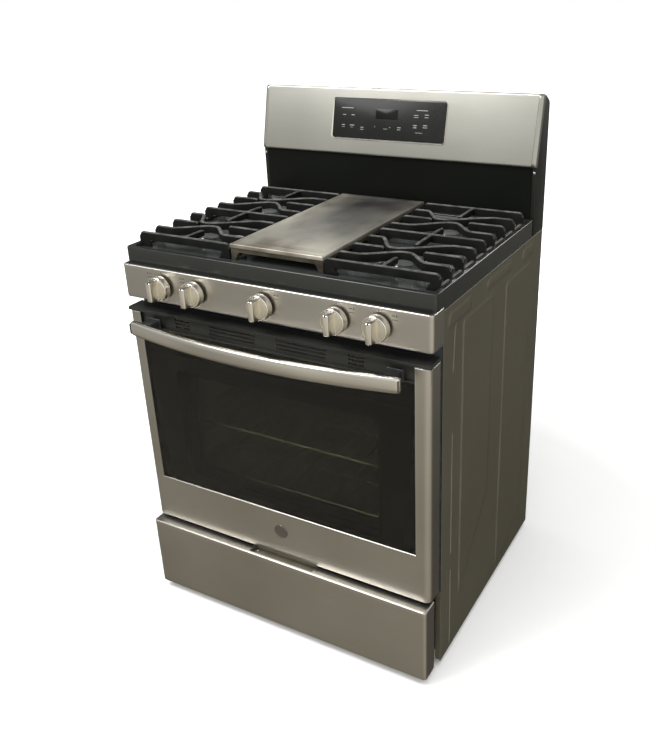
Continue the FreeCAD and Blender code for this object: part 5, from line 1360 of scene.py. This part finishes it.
@dataclass
class Knob:
    """One knob: a dial with a bright rim and ring, and a proud upright grip."""

    number: int
    grip: float = 7.5 * MM
    grip_tall: float = 23.4 * MM
    shelf: float = 10.5 * MM
    dial: float = 17 * MM

    def build(self) -> Extent:
        """Builds the knob's dial, rings and pointer.

        Returns:
            The knob's box.
        """
        node = body = "knob_%d" % self.number
        place = Extent.of(node)
        x, _, z = place.middle
        back, radius = place.y1, (place.z1 - place.z0) / 2 / MM
        profile = np.array([(0, 0), (radius - 1.2, 0), (radius - 0.1, 1.0), (radius, 12.0),
                            (radius - 0.6, 14.4), (radius - 4.2, 15.0), (0, 15.2)]) * MM
        skin = Skin().lathed(profile * [1, -1], (x, back, z), "y", 72)
        shelf = rounded([(x - self.shelf, z - 20 * MM), (x + self.shelf, z - 20 * MM),
                         (x + self.shelf, z + 20 * MM), (x - self.shelf, z + 20 * MM)], 2.5 * MM, 3)
        skin.prism(shelf, "y", back - 17.4 * MM, back - 14.4 * MM, 0.6 * MM)
        self.add_grip(skin, x, z, back - self.dial, place.y0)
        dress(skin.build(node + "_dial", 32), "knob", "knob_metal", body, node)
        rim = rounded(np.array([(radius - 3.6, 14.4), (radius - 0.5, 13.6), (radius - 0.2, 15.8),
                                (radius - 1.6, 17.0), (radius - 3.2, 16.6)]) * MM, 0.6 * MM, 3)
        ring = rounded(np.array([(radius - 7.6, 14.8), (radius - 5.6, 14.8), (radius - 5.8, 15.9),
                                 (radius - 7.4, 15.9)]) * MM, 0.45 * MM, 3)
        skin = Skin()
        for outline in (rim, ring):
            self.add_ring(skin, outline * [1, -1], (x, back, z))
        dress(skin.build(node + "_rings", 40), "knob_rim", "knob_metal", body)
        skin = Skin().block((x - 1.3 * MM, x + 1.3 * MM), (place.y0 - 0.05 * MM, place.y0 + 1.5 * MM),
                            (place.z1 - 9.5 * MM, place.z1 - 4.6 * MM), 0.35 * MM)
        dress(skin.build(node + "_pointer"), "plastic", "black_plastic", body)
        return place

    def add_ring(self, skin: Skin, outline: Array, centre: tuple[float, float, float]) -> None:
        """Turns an outline round the knob's axis: centre + (radius cos a, rise, radius sin a).

        Args:
            skin: the skin that it is added to.
            outline: (radius, rise) corners of a closed outline.
            centre: the point that rises are measured from.
        """
        angle = np.linspace(0.0, 2 * math.pi, 72, endpoint=False)[:, None]
        radius, rise = outline[None, :, 0], outline[None, :, 1]
        points = np.broadcast_arrays(radius * np.cos(angle) + centre[0], rise + centre[1],
                                     radius * np.sin(angle) + centre[2])
        skin.tube(np.stack(points, axis=-1), closed=True)

    def add_grip(self, skin: Skin, x: float, z: float, root: float, tip: float) -> None:
        """The grip: rounded rectangles from the dial to the tip, narrowing forwards to a bevelled edge.

        The half width falls by a tenth and the half height by 1.4 mm over the
        grip's depth; the last rings close in on a quarter circle.

        Args:
            skin: the skin that it is added to.
            x: the knob's middle across.
            z: the knob's middle in height.
            root: y of the dial.
            tip: y of the grip's end.
        """
        depth = root + 2.5 * MM - tip
        share = np.r_[0.0, 0.3, 0.6, 0.84, 1 - (1 - np.sin(np.linspace(0.1, math.pi / 2, 5))) * 0.16]
        close = np.r_[0, 0, 0, 0, (1 - np.cos(np.linspace(0.1, math.pi / 2, 5))) * 2.2 * MM]
        half_u = self.grip * (1.0 - 0.1 * share) - close
        half_v = self.grip_tall - 1.4 * MM * share - close
        rings = rectangle_rings(half_u, half_v, np.maximum(3.2 * MM - close, 0.9 * MM), 5) + [x, z]
        skin.tube(lifted(rings, (root + 2.5 * MM - depth * share)[:, None])[..., [0, 2, 1]])


@dataclass
class Door:
    """The oven door's outside: skin, glass print, sill, handle, brackets and badge."""

    wall: float = 1.2 * MM
    window: tuple[float, float, float, float] = (-262 * MM, 262 * MM, 350 * MM, 638 * MM)

    def skin(self) -> None:
        """The bent steel skin, with the glass opening left out up to its top edge."""
        place, glass = Extent.of("door_skin"), Extent.of("door_glass_outer")
        columns = np.r_[np.linspace(place.x0, place.x1, 41), glass.x0, glass.x1]
        plan = wrapped_plan(place.x1, place.y0, place.y1, 15 * MM, columns)
        rows = rolled_rows(place.z0, place.z1, 2.6 * MM,
                           np.r_[np.linspace(place.z0, place.z1, 30), glass.z0, place.z1 - 3 * MM], 3 * MM)
        inside = between(plan[0][:, 0], glass.x0 + 1e-5, glass.x1 - 1e-5)
        above = between(rows[0], glass.z0, 2.0)
        above[-6:] = True
        keep = ~(above[:, None] & inside[None, :])
        skin = wrapped_sheet(Skin(), plan, rows, self.wall, keep)
        dress(skin.build("door_skin_bent", 40), "steel", "stainless", "door", "door_skin")
        lip = Skin()
        front, back = place.y0 - 0.6 * MM, place.y0 + 3 * MM
        low, high = glass.z0 - 1.4 * MM, glass.z0 + 2.0 * MM
        outline = rounded([(front, low), (back, low), (back, high), (front, high)],
                          np.array([0.8, 0.3, 0.3, 1.7]) * MM, 5)
        lip.prism(outline, "x", glass.x0 + 0.2 * MM, glass.x1 - 0.2 * MM)
        for side in SIDES:
            edge = glass.x1 * side
            near, far, out = place.y0 - 0.1 * MM, place.y0 + 3 * MM, edge + side * 1.4 * MM
            strip = rounded([(edge, near), (out, near), (out, far), (edge, far)], 0.5 * MM, 2)
            lip.prism(strip, "z", glass.z0, place.z1 - 4 * MM)
        dress(lip.build("door_glass_lip"), "steel_bright", "stainless", "door")

    def print_behind_glass(self) -> None:
        """The black print behind the glass, with its window left clear.

        Each point of the window's outline is carried straight out from the
        glass's middle to the glass's edge, so the print is one closed band.
        """
        glass = Extent.of("door_glass_outer")
        x0, x1, z0, z1 = self.window
        window = rectangle_rings((x1 - x0) / 2, (z1 - z0) / 2, 14 * MM, 8)[0] + [(x0 + x1) / 2, (z0 + z1) / 2]
        outer_half = np.array([glass.x1 - glass.x0, glass.z1 - glass.z0]) / 2 - 0.6 * MM
        middle = np.array([0.0, (glass.z0 + glass.z1) / 2])
        away = window - middle
        reach = np.min(outer_half / np.maximum(np.abs(away), 1e-9), axis=1)
        border = middle + away * reach[:, None]
        rings = np.stack([border, window, window, border], axis=1)
        levels = glass.y1 + np.array([0.15, 0.15, 0.55, 0.55]) * MM
        skin = Skin().tube(lifted(rings, levels)[..., [0, 2, 1]], closed=True)
        dress(skin.build("door_glass_print", 40), "black_glass", "black_glass", "door")

    def inner_frames(self) -> None:
        """Two thin pressed frames seen through the window, between the panes."""
        outer, inner = Extent.of("door_glass_outer"), Extent.of("door_glass_inner")
        skin = Skin()
        x0, x1, z0, z1 = self.window
        for y, grow in ((outer.y1 + 9 * MM, -9 * MM), (inner.y0 - 5 * MM, -20 * MM)):
            out, deep = np.array([0, 0, 16, 16]) * MM, np.array([0, 6, 6, 0]) * MM
            rings = rectangle_rings((x1 - x0) / 2 + grow + out, (z1 - z0) / 2 + grow + out, 18 * MM + out, 8)
            points = lifted(rings + [(x0 + x1) / 2, (z0 + z1) / 2], (y + deep)[:, None])[..., [0, 2, 1]]
            skin.tube(np.swapaxes(points, 0, 1), closed=True)
        dress(skin.build("door_inner_frames", 40), "satin_black", "oven_enamel", "door")

    def handle(self) -> None:
        """The bowed bar: an oval section carried along y = tip + bow * (x / half) squared, with soft ends."""
        place = Extent.of("handle_bar")
        tall, deep = 34 * MM, 18 * MM
        half = place.x1 - 1.4 * MM
        stops = np.array([0, 0.6, 1.8, 3.8, 6.6]) * MM
        x = np.r_[-half + stops, np.linspace(-half + 12 * MM, half - 12 * MM, 61), half - stops[::-1]]
        bow = place.y1 - place.y0 - deep
        centre = place.y0 + deep / 2 + bow * (x / half) ** 2
        path = np.stack([x, centre, np.full(len(x), (place.z0 + place.z1) / 2)], axis=1)
        along = np.gradient(path, axis=0)
        along /= np.linalg.norm(along, axis=1, keepdims=True)
        across = np.stack([-along[:, 1], along[:, 0], np.zeros(len(x))], axis=1)
        angle = np.linspace(0.0, 2 * math.pi, 40, endpoint=False)
        power = 2 / 3.2
        oval = np.stack([np.sign(np.cos(angle)) * np.abs(np.cos(angle)) ** power * deep / 2,
                         np.sign(np.sin(angle)) * np.abs(np.sin(angle)) ** power * tall / 2], axis=1)
        away = np.minimum(x + half, half - x)
        scale = np.sqrt(1 - (1 - np.clip(away / (7 * MM), 0, 1)) ** 2) * 0.24 + 0.76
        skin = Skin().swept(path, across, (0, 0, 1), oval[None] * scale[:, None, None])
        dress(skin.build("door_handle_bowed", 40), "steel_bright", "stainless", "door", "handle_bar")

    def fittings(self) -> None:
        """The moulded brackets at the bar's ends and the plain disc on the band."""
        bracket, bar = Extent.of("handle_brackets"), Extent.of("handle_bar")
        skin = Skin()
        for side in SIDES:
            x = sorted((side * bracket.x1, side * (bracket.x1 - 30 * MM)))
            skin.block(x, (bracket.y0, bracket.y1), (bracket.z0, bracket.z1), 4 * MM, 4)
            plug = sorted((side * (bar.x1 - 3.4 * MM), side * (bar.x1 - 0.9 * MM)))
            skin.block(plug, (bar.y1 - 19.5 * MM, bar.y1 - 5.5 * MM), (bar.z0 + 5 * MM, bar.z1 - 5 * MM),
                       1.2 * MM)
            foot = sorted((side * (bracket.x1 + 3 * MM), side * (bracket.x1 - 33 * MM)))
            skin.block(foot, (bracket.y1 - 3 * MM, bracket.y1 + 0.2 * MM),
                       (bracket.z0 - 3 * MM, bracket.z1 + 3 * MM), 1.4 * MM, 4)
        dress(skin.build("door_handle_brackets", 40), "plastic", "black_plastic", "door", "handle_brackets")
        badge = Extent.of("badge")
        radius = (badge.x1 - badge.x0) / 2 / MM
        profile = np.array([(0, 1.1), (radius - 3.2, 1.3), (radius - 2.2, 1.9), (radius - 1.0, 2.0),
                            (radius - 0.2, 1.6), (radius, 0.9), (radius, 0), (0, 0)]) * MM
        skin = Skin().lathed(profile * [1, -1], (badge.middle[0], badge.y1, badge.middle[2]), "y", 64)
        dress(skin.build("door_badge_plain", 30), "badge", "stainless", "door", "badge")

    def build(self) -> None:
        """Builds the door's outer pieces."""
        self.skin()
        self.print_behind_glass()
        self.inner_frames()
        self.handle()
        self.fittings()


@dataclass
class Drawer:
    """The storage drawer's front: bent skin, ledge with a finger cut-out, and its pocket."""

    pull_half: float = 87 * MM
    wall: float = 1.2 * MM

    def build(self) -> None:
        """Builds the skin, the ledge and the pocket."""
        place = Extent.of("drawer_front")
        columns = np.linspace(place.x0, place.x1, 61)
        plan = wrapped_plan(place.x1, place.y0, place.y1, 8 * MM, columns)
        rows = rolled_rows(place.z0, place.z1, 3 * MM, np.linspace(place.z0, place.z1, 16), 3.5 * MM)
        skin = wrapped_sheet(Skin(), plan, rows, self.wall)
        near, far = place.y0 + 8 * MM, place.y0 + 36 * MM
        xs = np.unique(np.r_[np.linspace(place.x0 + 3 * MM, place.x1 - 3 * MM, 31),
                             -self.pull_half, self.pull_half])
        ys = np.array([place.y0 + 5 * MM, near, far, place.y1 - 0.5 * MM])
        x, y = np.meshgrid(xs, ys)
        top = np.stack([x, y, np.full(x.shape, place.z1 - 0.6 * MM)], axis=-1)
        keep = ~(between(ys, near, far)[:, None] & between(xs, -self.pull_half, self.pull_half)[None, :])
        skin.sheet(top, top - [0, 0, self.wall], keep)
        skin.block((place.x0 + 3 * MM, place.x1 - 3 * MM), (place.y0 + 4 * MM, place.y1 - 0.5 * MM),
                   (place.z0 + 0.3 * MM, place.z0 + 1.6 * MM), 0.4 * MM)
        dress(skin.build("drawer_front_bent", 40), "steel", "stainless", "drawer", "drawer_front")
        pocket = Skin()
        low, high = place.z1 - 13 * MM, place.z1 - 2 * MM
        wide = (-self.pull_half - 2 * MM, self.pull_half + 2 * MM)
        pocket.block(wide, (far, far + 1.4 * MM), (low, high), 0.4 * MM)
        pocket.block(wide, (near, far + 1 * MM), (low - 1.4 * MM, low), 0.4 * MM)
        for side in SIDES:
            x = sorted((side * self.pull_half, side * (self.pull_half + 1.4 * MM)))
            pocket.block(x, (near, far), (low, high), 0.4 * MM)
        pocket.block((place.x0 + 4 * MM, place.x1 - 4 * MM), (place.y1 - 1.6 * MM, place.y1 - 0.3 * MM),
                     (place.z0 + 4 * MM, place.z1 - 4 * MM), 0.4 * MM)
        dress(pocket.build("drawer_pull_pocket", 40), "olive", "side_paint", "drawer")
        screw = np.array([(0, 0), (3.6, 0), (3.4, 1.2), (2.2, 1.9), (0, 2.1)]) * MM
        head = Skin().lathed(screw, (-self.pull_half + 9 * MM, far - 6 * MM, low), "z", 24)
        dress(head.build("drawer_pull_screw"), "zinc", "zinc_steel", "drawer")


# ---------------------------------------------------------------- backguard
@dataclass
class Console:
    """The leaning console: bright face, display with plain marks, and moulded ends."""

    roll: float = 5 * MM
    trim: float = 12 * MM
    place: Extent = field(init=False)
    display: Extent = field(init=False)
    base: Array = field(init=False)
    height: float = field(init=False)
    up: Array = field(init=False)
    out: Array = field(init=False)

    def __post_init__(self) -> None:
        """Reads where the face leans from the frame."""
        panel = self.place = Extent.of("console_panel")
        self.display = Extent.of("display_glass")
        self.base = np.array([0.0, panel.y0, panel.z0])
        tip = np.array([0.0, panel.y1 - 6 * MM, panel.z1])
        self.height = float(np.linalg.norm(tip - self.base))
        self.up = (tip - self.base) / self.height
        self.out = np.cross([1.0, 0.0, 0.0], self.up)

    def lay(self, points: Array, out: Array | float) -> Array:
        """Lays points on the face: base + across * u + up * v + out * distance.

        Args:
            points: (u, v) pairs.
            out: the distance out of the face.

        Returns:
            The points in space.
        """
        out = np.broadcast_to(np.asarray(out, float), points.shape[:-1])[..., None]
        return self.base + points[..., :1] * [1.0, 0.0, 0.0] + points[..., 1:] * self.up + out * self.out

    def plate(self, skin: Skin, low: tuple[float, float], high: tuple[float, float], out: tuple[float, float],
              radius: float) -> None:
        """A flat plate on the face, with rounded corners and a soft front edge.

        Args:
            skin: the skin that it is added to.
            low: its lower left corner, across and up the face.
            high: its upper right corner.
            out: where it starts and ends out of the face.
            radius: radius of its corners.
        """
        half = (np.array(high) - low) / 2
        middle = (np.array(high) + low) / 2
        bevel = min(abs(out[1] - out[0]) * 0.45, 0.6 * MM)
        inset = np.array([0.0, 0.0, bevel * 0.3, bevel])
        rise = np.array([out[0], out[1] - bevel, out[1] - bevel * 0.3, out[1]])
        rings = rectangle_rings(half[0] - inset, half[1] - inset, np.maximum(radius - inset, 0.2 * MM), 5)
        skin.tube(self.lay(rings + middle, rise[:, None]))

    def face(self) -> None:
        """The steel face: a section rolled back at the top and bottom, carried across."""
        place, wall = self.place, 1.2 * MM
        high, half = self.height, place.x1
        outer = rounded(np.array([(16 * MM, 0.0), (0.0, 0.0), (0.0, high), (9 * MM, high)]),
                        np.array([0.2, self.roll / MM, self.roll / MM, 0.2]) * MM, 7)
        deep = 20 * MM
        centre = np.array([deep, high / 2])
        inner = centre + (outer - centre) * [(deep - wall) / deep, (high - 2 * wall) / high]
        inner[:, 0] = np.minimum(inner[:, 0], outer[:, 0].max())
        xs = np.linspace(-half, half, 31)
        grids = []
        for line in (outer, inner):
            grid = self.base + xs[None, :, None] * [1.0, 0.0, 0.0] + line[:, None, 1:] * self.up
            grids.append(grid - line[:, None, :1] * self.out)
        skin = Skin().sheet(*grids)
        dress(skin.build("console_face_rolled", 40), "console", "stainless", "root", "console_panel")

    def screen(self) -> None:
        """The black display with its thin bright frame, clock window and plain marks."""
        place = self.display
        low = (place.x0, (place.z0 - self.base[2]) / self.up[2])
        high = (place.x1, (place.z1 - self.base[2]) / self.up[2])
        skin = Skin()
        self.plate(skin, low, high, (-2 * MM, 0.9 * MM), 6 * MM)
        dress(skin.build("display_pane", 40), "display", "black_glass", "root", "display_glass")
        grow = np.array([0.2, 3.4, 3.4, 2.8, 0.2]) * MM
        out = np.array([-1.0, -1.0, 1.6, 2.0, 0.2]) * MM
        half, middle = (np.array(high) - low) / 2, (np.array(high) + low) / 2
        rings = rectangle_rings(half[0] + grow, half[1] + grow, 6 * MM + grow, 6) + middle
        bezel = Skin().tube(np.swapaxes(self.lay(rings, out[:, None]), 0, 1), closed=True)
        dress(bezel.build("display_frame", 50), "steel_bright", "stainless")
        clock = Skin()
        self.plate(clock, (middle[0] - 34 * MM, middle[1] + 2 * MM),
                   (middle[0] + 28 * MM, middle[1] + 27 * MM), (0.0, 1.0 * MM), 1.5 * MM)
        dress(clock.build("display_clock", 40), "screen", "black_glass")
        self.marks(middle)

    def marks(self, middle: Array) -> None:
        """Plain light bars and dots where the keys are.

        A bar is the place of its middle, its width and its height in millimetres.

        Args:
            middle: the display's middle, across and up the face.
        """
        marks, (across, up) = Skin(), middle
        bars = [(-115, 26, 34, 1.6), (-123, 9, 9, 1.8), (-98, 9, 9, 1.8), (-124, -16, 9, 1.8),
                (-99, -16, 13, 1.8), (-124, -21, 10, 0.8), (-99, -21, 8, 0.8), (-70, -20, 9, 1.8),
                (-70, -25, 9, 1.4), (-4, -21, 12, 1.0), (33, -16, 10, 1.8), (33, -21, 9, 1.4),
                (92, 27, 30, 1.6), (77, 15, 12, 1.8), (105, 17, 11, 1.8), (77, 10, 13, 1.0),
                (105, 11, 11, 1.6), (76, -9, 11, 1.8), (103, -8, 11, 1.8), (76, -14, 10, 1.6),
                (103, -13, 12, 1.6), (88, -26, 20, 0.9)]
        for x, v, wide, tall in bars:
            low = (across + (x - wide / 2) * MM, up + (v - tall / 2) * MM)
            high = (across + (x + wide / 2) * MM, up + (v + tall / 2) * MM)
            self.plate(marks, low, high, (0.7 * MM, 1.0 * MM), 0.35 * MM)
        for x in (-34, 8):
            low = (across + (x - 1.2) * MM, up - 18 * MM)
            self.plate(marks, low, (low[0] + 2.4 * MM, low[1] + 2.4 * MM), (0.7 * MM, 1.0 * MM), 1.1 * MM)
        dress(marks.build("display_marks", 40), "mark", "black_glass")

    def ends(self) -> None:
        """The ends: a bright rounded strip down the face's edge, and a dark moulded side behind it."""
        caps, strips = Skin(), Skin()
        place, panel = Extent.of("console_end_caps"), self.place
        front, rear = Extent.of("backguard").y0 + 0.3 * MM, place.y1 - 0.2 * MM
        back = self.trim
        ridge, top = panel.y0 + self.up[1] * self.height + back, place.z1 - 3 * MM
        outline = rounded([(front, place.z0), (rear, place.z0), (rear, place.z1 - 21 * MM),
                           (ridge + 2 * MM, top), (ridge - 2 * MM, top),
                           (panel.y0 + back - 2 * MM, panel.z0 + 3 * MM), (front, panel.z0 + 1 * MM)],
                          np.array([0.6, 0.6, 8, 1, 1, 1, 1]) * MM, 4)
        wide = place.x1 - panel.x1 - 0.6 * MM
        for side in SIDES:
            x = sorted((side * (panel.x1 + 0.6 * MM), side * (place.x1 - 0.9 * MM)))
            caps.prism(outline, "x", *x, 0.8 * MM)
            section = rounded([(0.0, 0.4 * MM), (wide, 0.4 * MM), (wide, -back), (wide - 1.6 * MM, -back),
                               (0.0, -back)], np.array([0.5, 8.5, 0.6, 0.3, 0.3]) * MM, 7)
            stops = np.array([0.0, 0.8, 2.4, 5.0, 8.0]) * MM
            run = np.r_[stops, np.linspace(12 * MM, self.height - 12 * MM, 12), self.height - stops[::-1]]
            sink = np.clip(1 - np.minimum(run, self.height - run) / (8 * MM), 0, 1) ** 2 * 5 * MM
            across = side * (panel.x1 + 0.5 * MM + section[None, :, 0])
            out = np.clip(section[None, :, 1] - sink[:, None], -back, None)
            grid = self.base + across[..., None] * [1.0, 0.0, 0.0] + run[:, None, None] * self.up
            strips.tube(grid + out[..., None] * self.out)
        dress(caps.build("console_end_sides", 40), "satin_black", "black_plastic", "root", "console_end_caps")
        dress(strips.build("console_end_strips", 45), "console", "stainless")
        self.end_screws(place)

    def end_screws(self, ends: Extent) -> None:
        """A small bright screw under each end of the console.

        Args:
            ends: the box of the console's ends.
        """
        screw = np.array([(0, 0), (3.0, 0), (2.8, 1.0), (1.8, 1.6), (0, 1.8)]) * MM
        skin = Skin()
        y, z = Extent.of("backguard").y0 + 0.4 * MM, self.place.z0 - 14 * MM
        for side in SIDES:
            skin.lathed(screw * [1, -1], (side * (ends.x1 - 5.5 * MM), y, z), "y", 20)
        dress(skin.build("console_end_screws"), "zinc", "zinc_steel")

    def build(self) -> None:
        """Builds the console's pieces."""
        self.face()
        self.screen()
        self.ends()


# ---------------------------------------------------------------- carried-over nodes
CARRIED = {
    "backguard": "riser", "door_top_trim": "trim", "front_frame": "oven_enamel",
    "oven_cavity": "oven_enamel", "oven_floor": "oven_enamel", "door_liner": "oven_enamel",
    "door_glass_outer": "dark_glass", "door_glass_inner": "clear_glass", "burner_tubes": "aluminium",
    "gas_valves": "brass", "base_frame": "zinc", "rear_panel": "zinc", "drawer_box": "zinc",
    "drawer_slides": "zinc", "drawer_runners": "zinc", "hinge_arms": "zinc", "hinge_cheeks": "zinc",
    "manifold_pipe": "zinc", "pressure_regulator": "aluminium", "screws": "zinc", "bake_burner": "zinc",
    "broil_burner": "zinc", "temperature_sensor": "chrome", "oven_rack_lower": "chrome",
    "oven_rack_upper": "chrome", "levelling_legs": "plastic", "cord_gland": "plastic",
    "spark_module": "plastic", "control_board": "board", "insulation": "wool", "door_seal": "wool",
    "oven_lamp": "lamp_glass", "igniters": "ceramic", **{"valve_stem_%d" % n: "zinc" for n in range(1, 6)},
}


def paint_carried(nodes: dict[str, bpy.types.Object]) -> None:
    """Gives every CAD node that stays its finish.

    Args:
        nodes: the frame's nodes by name.
    """
    for name, finish in CARRIED.items():
        mesh = nodes[name].data
        mesh.materials.clear()
        mesh.materials.append(PAINT[finish])
        LOG.info("%s: carried over in %s", name, finish)


# ---------------------------------------------------------------- studio
@dataclass
class Studio:
    """Pale floor, soft lamps, a warm grey surround, and the camera.

    A lamp is its name, place, target, size, power and whether gloss mirrors it.
    """

    eye: tuple[float, float, float] = (0.9459, -1.5414, 1.4393)
    aim: tuple[float, float, float] = (-0.45396, 0.79826, -0.39587)
    roll: float = math.radians(-1.887)
    lens: float = 39.46
    shift: tuple[float, float] = (-0.0490, -0.0527)
    lamps: tuple = (("lamp_above", (0.2, -0.5, 3.4), (0.0, 0.0, 0.6), 3.4, 120.0, False),
                    ("lamp_front", (-1.6, -3.0, 2.4), (0.0, 0.0, 0.7), 1.6, 26.0, False),
                    ("lamp_gleam", (-1.25, -1.45, 3.2), (0.0, -0.1, 0.8), 1.5, 85.0, True),
                    ("lamp_right", (2.2, -3.4, 1.4), (0.35, 0.0, 0.5), 1.0, 42.0, False),
                    ("lamp_rear", (1.45, 2.7, 2.0), (0.3, 0.0, 0.9), 1.0, 26.0, True))
    heights: tuple = ((0.0, (0.20, 0.185, 0.155)), (0.18, (0.26, 0.235, 0.19)), (0.24, (0.37, 0.34, 0.28)),
                      (0.33, (0.49, 0.465, 0.41)), (0.5, (0.56, 0.55, 0.5)), (0.62, (0.70, 0.70, 0.66)),
                      (0.8, (0.74, 0.74, 0.72)), (1.0, (0.5, 0.5, 0.5)))

    def camera(self) -> None:
        """Points the camera along its aim and turns it by its small roll."""
        ahead = Vector(self.aim).normalized()
        level = ahead.cross(Vector((0, 0, 1))).normalized()
        upright = level.cross(ahead)
        right = level * math.cos(self.roll) + upright * math.sin(self.roll)
        up = right.cross(ahead)
        data = bpy.data.cameras.new("camera")
        data.lens, data.sensor_width = self.lens, 36.0
        data.shift_x, data.shift_y = self.shift
        data.dof.use_dof = False
        camera = bpy.data.objects.new("camera", data)
        turn = Matrix((right, up, -ahead)).transposed().to_4x4()
        camera.matrix_world = Matrix.Translation(self.eye) @ turn
        bpy.context.scene.collection.objects.link(camera)
        bpy.context.scene.camera = camera

    def light(self) -> None:
        """Adds the square lamps."""
        for name, place, target, size, power, mirrored in self.lamps:
            data = bpy.data.lights.new(name, "AREA")
            data.size, data.energy = size, power
            lamp = bpy.data.objects.new(name, data)
            lamp.visible_glossy = mirrored
            aim = Vector(target) - Vector(place)
            lamp.matrix_world = Matrix.Translation(place) @ aim.to_track_quat("-Z", "Y").to_matrix().to_4x4()
            bpy.context.scene.collection.objects.link(lamp)

    def surround(self) -> None:
        """The light from all round: a ramp of colours by height, dimmer behind and to the left, and patchy.

        The camera sees plain white in its place.
        """
        world = bpy.data.worlds.new("surround")
        world.use_nodes = True
        nodes = Nodes(world.node_tree)
        ray = nodes.add("TexCoord").outputs["Generated"]
        split = nodes.add("SeparateXYZ", s0=ray)
        sky = nodes.add("ValToRGB", s0=nodes.ramp(split.outputs["Z"], -1.0, 1.0))
        elements = sky.color_ramp.elements
        while len(elements) < len(self.heights):
            elements.new(0.5)
        for element, (at, colour) in zip(elements, self.heights):
            element.position, element.color = at, (*colour, 1.0)
        room = nodes.add("TexNoise", {"Scale": 2.6}, Vector=ray).outputs["Fac"]
        share = nodes.maths("MULTIPLY", nodes.ramp(split.outputs["Y"], -0.25, 0.35, 1.0, 0.22),
                            nodes.ramp(split.outputs["X"], -0.8, 0.8, 0.82, 1.7))
        share = nodes.maths("MULTIPLY", share, nodes.ramp(room, 0.3, 0.7, 0.72, 1.28))
        tint = nodes.add("VectorMath", None, {"operation": "SCALE"}, s0=sky.outputs["Color"], Scale=share)
        seen = nodes.add("LightPath").outputs["Is Camera Ray"]
        shown = nodes.mix(seen, tint.outputs["Vector"], (1.0, 1.0, 1.0))
        nodes.tree.links.new(shown, nodes.tree.nodes["Background"].inputs["Color"])
        bpy.context.scene.world = world

    def floor(self) -> None:
        """A wide pale floor that fades to plain white, as the camera sees it, away from the range."""
        x, y = np.meshgrid(np.linspace(-30.0, 30.0, 13), np.linspace(-30.0, 30.0, 13))
        top = np.stack([x, y, np.zeros(x.shape)], axis=-1)
        piece = Skin().sheet(top, top - [0.0, 0.0, 0.02]).build("studio_floor")
        graph = Graph("floor")
        reach = graph.add("VectorMath", None, {"operation": "LENGTH"}, s0=graph.place()).outputs["Value"]
        seen = graph.add("LightPath").outputs["Is Camera Ray"]
        tone = graph.ramp(graph.noise(2.0), 0.3, 0.7)
        graph.set(Base_Color=graph.mix(tone, (0.79, 0.79, 0.79), (0.82, 0.82, 0.82)), Roughness=0.8,
                  Emission_Color=(1.0, 1.0, 1.0),
                  Emission_Strength=graph.maths("MULTIPLY", graph.ramp(reach, 0.9, 2.4), seen))
        piece.data.materials.append(graph.material)
        piece.visible_glossy = False

    def build(self) -> None:
        """Sets up the whole studio."""
        self.camera()
        self.light()
        self.surround()
        self.floor()
        bpy.context.scene.view_settings.view_transform = "Standard"


def main() -> None:
    """Builds every sub-assembly in order."""
    logging.basicConfig(level=logging.INFO, format="%(name)s: %(message)s")
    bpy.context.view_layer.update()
    Studio().build()
    front = Extent.of("side_panel_right").y0
    SidePanels().build()
    Cooktop().build(front)
    Burners().build()
    Grate("grate_left", "left_grate").build()
    Grate("grate_right", "right_grate").build()
    Griddle().build()
    ControlPanel().build([Knob(number).build() for number in range(1, 6)])
    Door().build()
    Drawer().build()
    Console().build()
    paint_carried(frame["nodes"])


if __name__ == "__main__":
    main()
